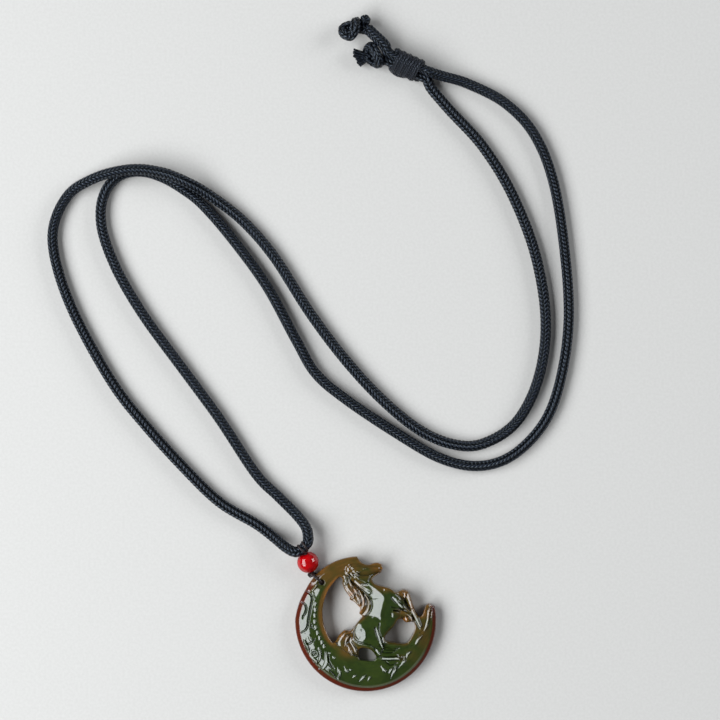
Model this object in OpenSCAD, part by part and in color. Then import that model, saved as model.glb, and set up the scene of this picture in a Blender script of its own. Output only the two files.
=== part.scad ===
// Carved jade pendant, a horse inside a crescent, on a braided neck cord with a bead and a sliding knot.
// The pendant lies on its back. The origin is the middle of its back, +Y points to the neck cord's ends, +Z is up.

/* [Carving] */
// Radius of the crescent's outer rim
rim_r = 19.2; // [19:0.05:19.4]
// Radius of the slimmer arm that holds the hanging hole
arm_r = 16; // [15.9:0.05:16.1]
// Radius of the round gap inside the crescent
gap_r = 12.9; // [12.7:0.05:13.1]
// Thickness of the carving over the horse
jade_t = 6; // [5.8:0.1:6.4]
// Height of the crescent's front face
crescent_t = 4.2; // [4:0.05:4.3]
// Radius of the hanging hole
hole_r = 0.75; // [0.7:0.05:0.9]

/* [Bead and thread] */
// Radius of the bead
bead_r = 2.95; // [2.85:0.05:3]
// Radius of the bore through the bead
bead_bore_r = 0.7; // [0.65:0.05:0.8]
// Radius of the doubled thread where it fills the bead's bore
core_r = 0.65; // [0.55:0.05:0.65]
// Radius of the single thread
thread_r = 0.4; // [0.35:0.05:0.4]

/* [Neck cord] */
// Radius of the braided cord
cord_r = 1.5; // [1.4:0.05:1.5]
// Radius of the cord where the hitch squeezes it
pinch_r = 1.1; // [1:0.05:1.1]
// Radius of the cord inside the sliding knot
squeezed_r = 1.35; // [1.3:0.05:1.35]

/* [Sliding knot] */
// Number of turns round the two legs of the cord
turns = 5; // [4:1:6]
// Pitch of the turns
turn_pitch = 1.88; // [1.8:0.02:1.9]
// Outer radius of the turns
knot_r = 3.35; // [3.3:0.05:3.5]

/* [Hidden] */
$fn = 64;
curve_steps = 5;
cord_sides = 8;

// Centres of the circles that bound the crescent, and the flatter one between the rim and the arm
rim_c = [0, 0.8];
arm_c = [-1.9, 2.4];
gap_c = [1.2, 3];
shoulder_c = [1.7, -1.6];
shoulder_r = 21.1;
shoulder_top = 13;
// Middle of the hanging hole
hole_c = [-11.9, 11.4];
// The back is ground away round the hole, so that the thread passes under the rim
relief_h = 1.1;
relief_r = 4;
// Height at which each part of the horse starts, above the table, and its front face
horse_base = 0.3;
body_h = 5.3;
limb_h = 4.8;

// Middle of the bead, and the point on the cord's axis that the hitch goes round
bead_c = [-15.7, 16.8, bead_r];
hitch_c = [-16.95, 20.9, 5.15];
// Direction of the cord through the hitch, in degrees from +X
fold_angle = 40;
hitch_w = 0.8;
hitch_gap = 0.3;
// Middle of the small thread knot
thread_knot_c = [-14.75, 13.65, 1.5];
thread_knot_r = 0.85;

// Middle and direction of the sliding knot; the legs lie diagonally one over the other inside it
slide_c = [11.2, 151.85, knot_r];
slide_angle = -25;
leg_offset = 0.98;
tunnel_gap = 0.08;
// How far the legs run on straight past each end of the sliding knot, so that it can travel
run_out = 1.8;
run_in = 1;
knot_half = turns * turn_pitch / 2;
slide_dir = heading(slide_angle);
slide_side = heading(slide_angle + 90);
// The cord through the hitch: its direction, and how far it runs straight each way
hitch_dir = heading(fold_angle);
pinch_half = 1;

// Middles of the two stopper knots
upper_knot_c = [-3.6, 161.8, 2.8];
lower_knot_c = [2.4, 154.3, 2];

// The leg that leaves the hitch upwards, outermost at the lower bend, up to the sliding knot: x, y, z
right_leg = [
    [-15.9, 21.9, 5.1], [-15.6, 23.4, 4.6], [-16.2, 26.2, 3.2], [-18.8, 29.6, 1.9], [-24, 34.8, 1.5],
    [-30, 40.9, 1.5], [-40, 56, 1.5], [-50, 69.6, 1.5], [-60, 83.2, 1.5], [-67, 94.8, 1.5], [-71.2, 105, 1.5],
    [-72.2, 112, 1.5], [-71, 117.5, 1.5], [-68.2, 121.2, 1.5], [-64.5, 122.9, 1.5], [-60, 123, 1.5],
    [-55, 121.4, 1.5], [-50, 118.5, 1.5], [-44.5, 114.2, 1.5], [-36.5, 105, 1.5], [-27, 92, 1.5],
    [-19, 77.3, 1.5], [-13.5, 68, 1.5], [-5, 60.8, 1.5], [8, 52.1, 1.5], [20, 45.2, 1.5], [30.5, 42.9, 1.5],
    [40, 45.8, 1.5], [48.5, 54.5, 1.5], [53, 66, 1.5], [55.3, 82, 1.5], [54.4, 100, 1.5], [51.3, 119.8, 1.5],
    [46, 133.2, 1.5], [38, 141.8, 1.5], [28, 147, 1.7], [21, 149, 3]];
// The leg that leaves the hitch to the left, and passes over the other at the upper bend
left_leg = [
    [-17.9, 20, 5.1], [-19.6, 19.8, 4.7], [-22, 21.1, 3.5], [-25.5, 23.9, 2], [-30, 27.2, 1.5],
    [-40, 33.2, 1.5], [-50, 42.9, 1.5], [-60, 54, 1.5], [-68.3, 64.5, 1.5], [-77, 79.5, 1.5],
    [-82.5, 92, 1.5], [-85.2, 103, 1.5], [-84.4, 110.5, 1.5], [-80.6, 117.2, 1.6], [-75, 120.7, 2.8],
    [-69, 122.7, 4.3], [-62, 123.6, 4.75], [-55, 122.6, 4.7], [-49, 120.3, 4.2], [-43, 117, 2.6],
    [-33.8, 110, 1.5], [-25, 100, 1.5], [-15, 84.4, 1.5], [-5, 71.2, 1.5], [5, 60.5, 1.5], [15, 52.5, 1.5],
    [24, 48.8, 1.5], [32, 49, 1.5], [41, 54.8, 1.5], [47, 66.5, 1.5], [49.1, 82, 1.5], [46.4, 100, 1.5],
    [40, 116.8, 1.5], [32, 129.9, 1.5], [23, 139.8, 1.5], [18, 145.6, 1.9]];
// Past the sliding knot, to the stopper knots
right_tail = [[5.1, 157.4, 4.2], [3, 159.5, 3.8], [0.6, 161.8, 3.4]];
left_tail = [[4.9, 153.7, 2.2]];

// A closed outline through points, as a smooth curve
function cubic(a, b, c, d, t) =
    0.5 * (2 * b + (c - a) * t + (2 * a - 5 * b + 4 * c - d) * t * t + (3 * b - a - 3 * c + d) * t * t * t);
function smooth(p) = [
    for (i = [0:len(p) - 1], s = [0:curve_steps - 1])
        cubic(p[(i + len(p) - 1) % len(p)], p[i], p[(i + 1) % len(p)], p[(i + 2) % len(p)], s / curve_steps)];

function unit(v) = v / norm(v);
function reversed(list) = [for (i = [len(list) - 1:-1:0]) list[i]];
function heading(angle) = [cos(angle), sin(angle), 0];
function along(path, i) = unit(path[min(i + 1, len(path) - 1)] - path[max(i - 1, 0)]);

// Rings of a tube along a path: each ring is square to the path, and up says which way its first side faces
function ring(centre, tangent, up, r, sides) =
    let (x = unit(cross(tangent, up)), y = cross(x, tangent))
    [for (k = [0:sides - 1]) centre + r * (cos((k + 0.5) * 360 / sides) * x + sin((k + 0.5) * 360 / sides) * y)];
function side_faces(rings, sides) = [
    for (i = [0:rings - 2], k = [0:sides - 1])
        [i * sides + k, i * sides + (k + 1) % sides, (i + 1) * sides + (k + 1) % sides, (i + 1) * sides + k]];

module tube(path, radii, up, sides) {
    n = len(path);
    points = [for (i = [0:n - 1]) each ring(path[i], along(path, i), up, radii[i], sides)];
    first = [[for (k = [sides - 1:-1:0]) k]];
    last = [[for (k = [0:sides - 1]) (n - 1) * sides + k]];
    polyhedron(points, concat(first, side_faces(n, sides), last), convexity = 10);
}

module aim(from, to) {
    d = unit(to - from);
    translate(from) rotate([0, acos(d[2]), atan2(d[1], d[0])]) children();
}

// ---- Carving ----

module crescent_plan() {
    difference() {
        union() {
            translate(arm_c) circle(arm_r);
            intersection() {
                translate(rim_c) circle(rim_r);
                translate(shoulder_c) circle(shoulder_r);
                translate([-30, -30]) square([60, 30 + shoulder_top]);
            }
        }
        translate(gap_c) circle(gap_r);
        polygon([
            [-3, 30], [-2.2, 9], [1, 2.2], [13.9, 2], [15.5, 2.4], [16.4, 5.2], [19.4, 5.6], [40, 6], [40, 30]]);
    }
}

module body_plan() {
    polygon(smooth([
        [-2.6, 18.3], [-1.1, 16.8], [0.6, 16.2], [3, 16.8], [4.5, 16], [4.6, 14.6], [3.2, 13.4], [1.9, 12.1],
        [2.6, 11], [4.8, 10.3], [7.4, 9.5], [9.3, 7.8], [9.2, 4.5], [8.6, 1.5], [7.2, -1.1], [5.3, -3.2],
        [5.2, -5.4], [3.8, -7.6], [2.3, -7.7], [1.1, -6.7], [-1.4, -6.3], [-3.4, -4.8], [-4.1, -2.4],
        [-3, -0.5], [-0.9, 2.1], [0.6, 4.5], [0.1, 7.3], [-2, 9.6], [-4.6, 11.6], [-6, 13.4], [-6, 16.4],
        [-4.6, 17.8]]));
}

module mane_plan() {
    polygon(smooth([
        [-6.6, 13], [-6.4, 11.2], [-5.8, 9.6], [-4.5, 7.8], [-4.3, 6.7], [-3.3, 6.2], [-2.2, 5], [-1.4, 4.2],
        [-1.8, 2.9], [-0.9, 2.2], [0.6, 3.4], [1.4, 5], [1, 7.2], [-0.5, 9], [-2.5, 10.8], [-4.4, 13]]));
}

module tail_plan() {
    polygon(smooth([
        [-2.8, -1.4], [-4.2, -1.5], [-5.4, -1.6], [-6.9, -2.4], [-7.8, -4.2], [-8.4, -6.4], [-7, -8.4],
        [-4.4, -9.6], [-1.9, -9.7], [-1.8, -8], [-1.5, -6.4], [-2, -4]]));
}

module raised_foreleg_plan() {
    polygon(smooth([
        [7.4, 9.3], [8.9, 8.9], [10.2, 9.5], [11.6, 9], [12.4, 7.2], [13, 5], [13.7, 3.3], [14.9, 2.2],
        [15.8, 0], [15, -1.6], [13.7, -1.2], [12.9, 0.6], [12.2, 2.4], [11.3, 4.4], [9.6, 5.2], [8, 6]]));
}

module folded_foreleg_plan() {
    polygon(smooth([
        [7.4, 4.6], [9.6, 4.1], [12, 3.6], [13.1, 2], [12.6, 0.7], [11.3, 0.4], [10.5, 0.8], [9.8, 1.4],
        [8.4, 1.3], [7.2, 2.4]]));
}

module hind_legs_plan() {
    polygon(smooth([
        [4.4, -3.4], [5.4, -4.6], [7, -4.9], [10.5, -5.3], [12.8, -5], [12.6, -7], [11.2, -8.2], [10.9, -9.8],
        [9.6, -10.6], [8, -10], [5, -9.6], [2.6, -9.7], [2.2, -8], [3, -6]]));
}

module slab(base, top) {
    translate([0, 0, base]) linear_extrude(top - base) children();
}

// A low dome that stands out of a flat face
module swell(x, y, ball_r, top, floor_z) {
    intersection() {
        translate([x, y, top - ball_r]) sphere(ball_r);
        translate([x - ball_r, y - ball_r, floor_z]) cube([2 * ball_r, 2 * ball_r, ball_r]);
    }
}

// Turned profile: the rim slopes to a narrow edge at the front and at the back
module rim_profile() {
    translate([rim_c[0], rim_c[1], 0]) rotate_extrude($fn = 96)
        polygon([
            [0, 0], [rim_r - 1.3, 0], [rim_r, 1.4], [rim_r, 2.6], [rim_r - 0.9, crescent_t - 0.3],
            [rim_r - 1.6, crescent_t], [0, crescent_t]]);
}

module crescent() {
    intersection() {
        slab(0, crescent_t) crescent_plan();
        rim_profile();
    }
}

module horse() {
    slab(horse_base, body_h) body_plan();
    slab(horse_base + 0.2, limb_h) mane_plan();
    slab(horse_base + 0.1, limb_h - 0.2) tail_plan();
    slab(horse_base + 0.3, limb_h + 0.2) raised_foreleg_plan();
    slab(horse_base + 0.4, limb_h - 0.1) folded_foreleg_plan();
    slab(horse_base + 0.5, limb_h - 0.3) hind_legs_plan();
    swell(4.6, 6, 9, jade_t, limb_h);
    swell(-0.4, -2.6, 8, jade_t, limb_h);
    swell(2.4, 2, 8, jade_t - 0.2, limb_h);
    swell(-1.4, 14.3, 7, jade_t - 0.2, limb_h);
}

module jade_carving() {
    color("darkolivegreen") difference() {
        union() {
            crescent();
            horse();
        }
        translate([hole_c[0], hole_c[1], -1]) cylinder(r = hole_r, h = jade_t + 2);
        translate([hole_c[0], hole_c[1], -1]) cylinder(r = relief_r, h = relief_h + 1);
    }
}

// ---- Bead and its thread ----

module agate_bead() {
    color("firebrick") difference() {
        translate(bead_c) sphere(bead_r);
        aim(bead_c, hitch_c) cylinder(r = bead_bore_r, h = 4 * bead_r, center = true);
    }
}

module bead_thread() {
    reach = norm(hitch_c - bead_c) - pinch_r - 2 * thread_r;
    stub = bead_r + 0.1;
    color("saddlebrown") aim(bead_c, hitch_c)
        translate([0, 0, -stub]) cylinder(r = core_r, h = stub + reach);
}

module thread_knot() {
    color("saddlebrown") translate(thread_knot_c) sphere(thread_knot_r);
}

// The loop lies in one upright plane through the hole and the small knot, drawn as distance out, height
module hanging_loop() {
    out = unit([thread_knot_c[0] - hole_c[0], thread_knot_c[1] - hole_c[1], 0]);
    side = cross(out, [0, 0, 1]);
    profile = [
        [3.45, 1.9], [3.4, 3], [3.3, 4.1], [2.8, 4.75], [1.8, 4.85], [0.8, 4.8], [0.2, 4.4], [0, 3.6], [0, 2],
        [0.1, 1.2], [0.5, 0.65], [1.4, 0.5], [2.4, 0.55], [3.1, 0.9]];
    path = [for (p = profile) [hole_c[0], hole_c[1], 0] + p[0] * out + [0, 0, p[1]]];
    color("saddlebrown") tube(path, [for (p = path) thread_r], side, cord_sides);
}

// Two bands of the thread round the cord, and the bight that joins them over the top
module thread_hitch() {
    band_r = pinch_r + 0.03;
    band_t = 0.5;
    color("saddlebrown") translate(hitch_c) rotate([0, 90, fold_angle]) {
        for (s = [-1, 1])
            translate([0, 0, s * (hitch_w + hitch_gap) / 2]) rotate_extrude()
                translate([band_r, -hitch_w / 2]) square([band_t, hitch_w]);
        intersection() {
            rotate_extrude() translate([band_r + 0.06, -hitch_gap]) square([band_t, 2 * hitch_gap]);
            translate([-4, -0.6, -1]) cube([4, 1.2, 2]);
        }
    }
}

// ---- Neck cord ----

// Where a leg's centre is inside the sliding knot, at a distance along from the knot's middle
function leg_point(side, travel) =
    slide_c + side * leg_offset * (slide_side + [0, 0, 1]) + travel * slide_dir;

module neck_cord() {
    stations = [knot_half + run_out, knot_half, 0, -knot_half - run_in];
    right_end = [for (t = stations) leg_point(1, t)];
    left_end = [for (t = stations) leg_point(-1, t)];
    hitch = [hitch_c - pinch_half * hitch_dir, hitch_c + pinch_half * hitch_dir];
    left = concat(reversed(left_tail), reversed(left_end), reversed(left_leg));
    right = concat(right_leg, right_end, right_tail);
    path = concat(left, hitch, right);
    // The cord is slimmer where the hitch and the sliding knot squeeze it
    radii = [
        for (p = path)
            norm(p - hitch_c) < 2 * pinch_half ? pinch_r
            : norm(p - slide_c) < knot_half + run_out + 1 ? squeezed_r : cord_r];
    color("black") tube(path, radii, [0, 0, 1], cord_sides);
}

module tunnel_plan() {
    r = squeezed_r + tunnel_gap;
    a = leg_offset * [1, 1];
    circle_at = [a, -a];
    for (c = circle_at)
        translate(c) circle(r);
    rotate(45) square([2 * norm(a), 2 * r], center = true);
}

module sliding_knot() {
    color("dimgray") translate(slide_c) rotate([90, 0, slide_angle + 90]) difference() {
        for (i = [0:turns - 1])
            translate([0, 0, (i - (turns - 1) / 2) * turn_pitch]) rotate_extrude()
                polygon([
                    [0, -turn_pitch / 2], [knot_r - 0.4, -turn_pitch / 2], [knot_r, -turn_pitch / 4],
                    [knot_r, turn_pitch / 4], [knot_r - 0.4, turn_pitch / 2], [0, turn_pitch / 2]]);
        translate([0, 0, -knot_half - 1]) linear_extrude(2 * knot_half + 2) tunnel_plan();
    }
}

// A bent length of cord, as one rounded piece for each stretch
module bend(points, r) {
    for (i = [0:len(points) - 2])
        hull() {
            translate(points[i]) sphere(r, $fn = 20);
            translate(points[i + 1]) sphere(r, $fn = 20);
        }
}

module stopper_knot_upper() {
    color("black") translate(upper_knot_c)
        bend([
            [3.1, 0.8, 0.3], [3.4, 2.2, 0.8], [0.6, 0.6, 1.4], [-2.3, 0.2, 0.6], [-0.6, -1.5, -0.6],
            [1.6, 0, -1.2]], 1.6);
}

module stopper_knot_lower() {
    color("black") translate(lower_knot_c)
        bend([[1.3, -0.9, 0.1], [-0.4, 1.6, -0.5], [-0.9, 0, 0.6]], 1.5);
}

module cord_stub() {
    color("black") aim([0.2, 154.4, 2.4], [-3.4, 153.8, 1.9]) cylinder(r1 = 1.3, r2 = 1.85, h = 3.2);
}

jade_carving();
agate_bead();
hanging_loop();
thread_knot();
bead_thread();
thread_hitch();
neck_cord();
sliding_knot();
stopper_knot_upper();
stopper_knot_lower();
cord_stub();
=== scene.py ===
"""Looks of a carved jade pendant, a horse inside a crescent, on its bead, threads and braided neck cord.

The sizes in the classes are millimetres in the part's own frame: the origin is the middle of the
carving's back, +Y points to the ends of the neck cord and +Z up. Meshes are written in metres.
"""

import logging
import math
from dataclasses import dataclass, field
from enum import Enum
from itertools import product
from typing import ClassVar

import bpy
import numpy as np
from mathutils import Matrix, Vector


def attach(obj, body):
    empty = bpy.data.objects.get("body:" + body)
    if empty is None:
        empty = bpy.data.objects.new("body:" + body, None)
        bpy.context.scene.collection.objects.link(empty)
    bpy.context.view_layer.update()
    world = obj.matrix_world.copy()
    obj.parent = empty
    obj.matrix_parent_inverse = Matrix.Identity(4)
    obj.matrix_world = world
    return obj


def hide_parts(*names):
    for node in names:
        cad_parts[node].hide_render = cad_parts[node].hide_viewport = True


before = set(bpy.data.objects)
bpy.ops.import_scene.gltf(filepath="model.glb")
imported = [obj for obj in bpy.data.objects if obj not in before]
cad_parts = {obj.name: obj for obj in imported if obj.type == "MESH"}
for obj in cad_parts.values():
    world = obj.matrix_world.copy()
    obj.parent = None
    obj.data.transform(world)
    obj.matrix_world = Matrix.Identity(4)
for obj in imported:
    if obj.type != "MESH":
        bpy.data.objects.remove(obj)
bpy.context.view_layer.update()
MM = 0.001
LOG = logging.getLogger("pendant")
UP = np.array([0.0, 0.0, 1.0])

# The rings of a cord's end cap: shares of its height, the lay of the picks there, and the size of its tip
CAP_SHARES = (0.5, 0.85, 1.0)
CAP_LAY = (0.3, 0.5, 0.6)
CAP_TIP = 0.02

Points = np.ndarray
Socket = bpy.types.NodeSocket


class Body(Enum):
    """The bodies that the pieces ride on."""

    CORD = "neck_cord"
    SLIDER = "sliding_knot"
    HANGER = "hanger"
    BEAD = "bead"
    PENDANT = "pendant"


class Slot(Enum):
    """The record's material slots."""

    JADE = "jade"
    AGATE = "agate"
    THREAD = "thread"
    CORD = "cord"
    WRAPPING = "wrapping"


class Side(Enum):
    """The two legs of the neck cord: the one that leaves the hitch to the left, and the other one."""

    LEFT = -1
    RIGHT = 1


# ---- Geometry helpers ----


def unit(v: Points) -> Points:
    """Returns the vectors in v at length one."""
    return v / np.linalg.norm(v, axis=-1, keepdims=True)


def spline(points: list, per_span: int, closed: bool = False) -> Points:
    """Draws a smooth curve through points.

    Args:
        points: The points the curve passes, of two, three or more numbers each.
        per_span: Samples from one point to the next.
        closed: Whether the curve returns to its start.

    Returns:
        The samples, one row each.
    """
    p = np.array(points, float)
    if closed:
        a, b, c, d = np.roll(p, 1, 0), p, np.roll(p, -1, 0), np.roll(p, -2, 0)
    else:
        p = np.vstack([2 * p[0] - p[1], p, 2 * p[-1] - p[-2]])
        a, b, c, d = p[:-3], p[1:-2], p[2:-1], p[3:]
    t = (np.arange(per_span) / per_span)[None, :, None]
    a, b, c, d = (q[:, None, :] for q in (a, b, c, d))
    curve = 0.5 * (2 * b + (c - a) * t + (2 * a - 5 * b + 4 * c - d) * t**2 + (3 * b - a - 3 * c + d) * t**3)
    curve = curve.reshape(-1, p.shape[1])
    return curve if closed else np.vstack([curve, p[-2]])


def arc_lengths(path: Points) -> Points:
    """Returns the distance along the path at each of its points."""
    return np.concatenate([[0.0], np.cumsum(np.linalg.norm(np.diff(path, axis=0), axis=1))])


def resample(path: Points, step: float) -> Points:
    """Spaces a path's points evenly, its ends kept.

    Args:
        path: The path.
        step: The distance from one new point to the next, nearly.

    Returns:
        The new path.
    """
    lengths = arc_lengths(path)
    count = max(2, int(round(lengths[-1] / step)) + 1)
    stations = np.linspace(0, lengths[-1], count)
    return np.column_stack([np.interp(stations, lengths, column) for column in path.T])


def arc(centre: tuple, radius: float, start: float, end: float, count: int) -> list:
    """Returns points on a circle's arc, with the angles in degrees."""
    angles = np.radians(np.linspace(start, end, count))
    return [(centre[0] + radius * math.cos(a), centre[1] + radius * math.sin(a)) for a in angles]


def smooth_max(a: Points, b: Points, blend: float) -> Points:
    """Returns the larger of a and b, rounded over a blend width where they meet."""
    h = np.clip(0.5 + 0.5 * (a - b) / blend, 0, 1)
    return b + (a - b) * h + blend * h * (1 - h)


def smooth_step(edge0: float, edge1: float, x: Points) -> Points:
    """Returns 0 below edge0, 1 above edge1 and a smooth rise between."""
    t = np.clip((x - edge0) / (edge1 - edge0), 0, 1)
    return t * t * (3 - 2 * t)


def finish_piece(piece: bpy.types.Object, finish: "Finish", body: Body, nodes: tuple) -> None:
    """Gives a piece its material, its body and the CAD nodes that it stands for.

    Args:
        piece: The visible piece.
        finish: The finish that makes its material.
        body: The body that it rides on.
        nodes: The CAD nodes that it replaces.
    """
    piece.data.materials.append(finish.material())
    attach(piece, body.value)
    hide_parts(*nodes)
    LOG.info("%s: %d faces, on body %s", piece.name, len(piece.data.polygons), body.value)


@dataclass
class MeshParts:
    """Points in millimetres and faces of a mesh under construction."""

    points: list = field(default_factory=list)
    quads: list = field(default_factory=list)
    corners: list = field(default_factory=list)
    count: int = 0

    def add(self, points: Points, quads: Points, corner_uv: Points | None = None) -> None:
        """Adds a block of points and quads.

        Args:
            points: The block's points.
            quads: The block's faces, four point numbers each.
            corner_uv: Two numbers for each corner of each quad, or None.
        """
        self.points.append(points)
        self.quads.append(quads + self.count)
        self.corners.append(np.zeros((len(quads), 4, 2)) if corner_uv is None else corner_uv)
        self.count += len(points)

    def build(self, name: str) -> bpy.types.Object:
        """Closes the mesh, smooth shaded, with its corner numbers in a layer named lay.

        Args:
            name: The piece's name.

        Returns:
            The piece, in the scene.
        """
        points = np.vstack(self.points) * MM
        quads = np.vstack(self.quads).astype(np.int32)
        mesh = bpy.data.meshes.new(name)
        mesh.vertices.add(len(points))
        mesh.vertices.foreach_set("co", points.astype(np.float32).ravel())
        mesh.loops.add(quads.size)
        mesh.loops.foreach_set("vertex_index", quads.ravel())
        mesh.polygons.add(len(quads))
        mesh.polygons.foreach_set("loop_start", np.arange(0, quads.size, 4, dtype=np.int32))
        mesh.polygons.foreach_set("use_smooth", np.ones(len(quads), bool))
        layer = mesh.uv_layers.new(name="lay")
        layer.uv.foreach_set("vector", np.vstack(self.corners).astype(np.float32).ravel())
        mesh.validate()
        mesh.update()
        piece = bpy.data.objects.new(name, mesh)
        bpy.context.scene.collection.objects.link(piece)
        return piece


def frames_along(path: Points, up: Points) -> tuple[Points, Points, Points]:
    """Carries a frame along a path so that it turns as little as possible.

    Args:
        path: The centre line.
        up: A direction that isn't along the path's start.

    Returns:
        The tangents and the two cross directions at each point.
    """
    tangents = unit(np.gradient(path, axis=0))
    across = np.empty_like(path)
    side = np.cross(tangents[0], up)
    for i, tangent in enumerate(tangents):
        side = side - tangent * side.dot(tangent)
        side = side / np.linalg.norm(side)
        across[i] = side
    return tangents, across, np.cross(across, tangents)


# ---- Node helpers ----


class Graph:
    """A material's node graph, with short calls for the nodes that the finishes share."""

    def __init__(self, name: str) -> None:
        """Makes a material with a single surface shader.

        Args:
            name: The material's name.
        """
        self.material = bpy.data.materials.new(name)
        self.material.use_nodes = True
        self.tree = self.material.node_tree
        self.shader = self.tree.nodes["Principled BSDF"]

    def node(self, kind: str, **settings: object) -> bpy.types.Node:
        """Adds a node.

        Args:
            kind: The node's type.
            settings: Its settings, by name.

        Returns:
            The node.
        """
        made = self.tree.nodes.new(kind)
        for name, value in settings.items():
            setattr(made, name, value)
        return made

    def feed(self, socket: Socket, value: object) -> None:
        """Links a socket, or sets it.

        Args:
            socket: The socket to feed.
            value: Another node's output, or a plain value.
        """
        if isinstance(value, Socket):
            self.tree.links.new(value, socket)
        else:
            socket.default_value = value

    def math(self, operation: str, *values: object, clamp: bool = False) -> Socket:
        """Adds an arithmetic node.

        Args:
            operation: The operation's name.
            values: One or two outputs or numbers.
            clamp: Whether the result is kept from 0 to 1.

        Returns:
            The result.
        """
        made = self.node("ShaderNodeMath", operation=operation, use_clamp=clamp)
        for socket, value in zip(made.inputs, values):
            self.feed(socket, value)
        return made.outputs[0]

    def attribute(self, name: str) -> bpy.types.Node:
        """Returns a node that reads one of the mesh's own layers."""
        return self.node("ShaderNodeAttribute", attribute_name=name)

    def split(self, vector: Socket) -> list:
        """Takes a vector apart.

        Args:
            vector: The vector.

        Returns:
            Its three numbers.
        """
        made = self.node("ShaderNodeSeparateXYZ")
        self.feed(made.inputs[0], vector)
        return list(made.outputs)

    def join(self, x: object, y: object, z: object = 0.0) -> Socket:
        """Puts a vector together.

        Args:
            x, y, z: Its numbers.

        Returns:
            The vector.
        """
        made = self.node("ShaderNodeCombineXYZ")
        for socket, value in zip(made.inputs, (x, y, z)):
            self.feed(socket, value)
        return made.outputs[0]

    def noise(self, vector: object, scale: float, detail: float = 3.0, rough: float = 0.55) -> Socket:
        """Adds a noise pattern.

        Args:
            vector: The vector that the pattern runs over, or None for the place on the mesh in metres.
            scale: How fine the pattern is.
            detail: How many finer patterns lie on it.
            rough: How strong those are.

        Returns:
            The pattern, about 0 to 1.
        """
        made = self.node("ShaderNodeTexNoise")
        source = self.node("ShaderNodeTexCoord").outputs["Object"] if vector is None else vector
        self.feed(made.inputs["Vector"], source)
        self.feed(made.inputs["Scale"], scale)
        self.feed(made.inputs["Detail"], detail)
        self.feed(made.inputs["Roughness"], rough)
        return made.outputs[0]

    def mix(self, factor: object, a: object, b: object) -> Socket:
        """Mixes two colours.

        Args:
            factor: 0 for the first colour, 1 for the second.
            a: The first colour.
            b: The second colour.

        Returns:
            The mixed colour.
        """
        made = self.node("ShaderNodeMix", data_type="RGBA")
        self.feed(made.inputs["Factor"], factor)
        self.feed(made.inputs[6], a)
        self.feed(made.inputs[7], b)
        return made.outputs[2]

    def ramp(self, value: Socket, low: float, high: float) -> Socket:
        """Stretches a value, with eased ends.

        Args:
            value: The value.
            low: What gives 0.
            high: What gives 1.

        Returns:
            The stretched value.
        """
        made = self.node("ShaderNodeMapRange", interpolation_type="SMOOTHSTEP")
        self.feed(made.inputs["Value"], value)
        self.feed(made.inputs["From Min"], low)
        self.feed(made.inputs["From Max"], high)
        return made.outputs[0]

    def bump(
        self, height: Socket, distance: float, strength: float = 1.0, under: Socket | None = None
    ) -> Socket:
        """Turns a height into a normal.

        Args:
            height: The height, 0 to 1.
            distance: How high 1 is, metres.
            strength: How strongly it shows.
            under: Another bump's normal that this one lies on, or None.

        Returns:
            The normal.
        """
        made = self.node("ShaderNodeBump")
        self.feed(made.inputs["Height"], height)
        self.feed(made.inputs["Distance"], distance)
        self.feed(made.inputs["Strength"], strength)
        if under is not None:
            self.feed(made.inputs["Normal"], under)
        return made.outputs[0]

    def set(self, **values: object) -> None:
        """Sets or links the surface shader's sockets, named with underscores for spaces."""
        for name, value in values.items():
            self.feed(self.shader.inputs[name.replace("_", " ")], value)


Colour = tuple[float, float, float, float]


class Finish:
    """A finish makes its material once and gives the same one each time.

    Attributes:
        made: The materials made so far, by finish.
    """

    made: ClassVar[dict] = {}

    def material(self) -> bpy.types.Material:
        """Makes the finish's material at the first call.

        Returns:
            The material.
        """
        if self not in Finish.made:
            Finish.made[self] = self.build()
        return Finish.made[self]


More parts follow.
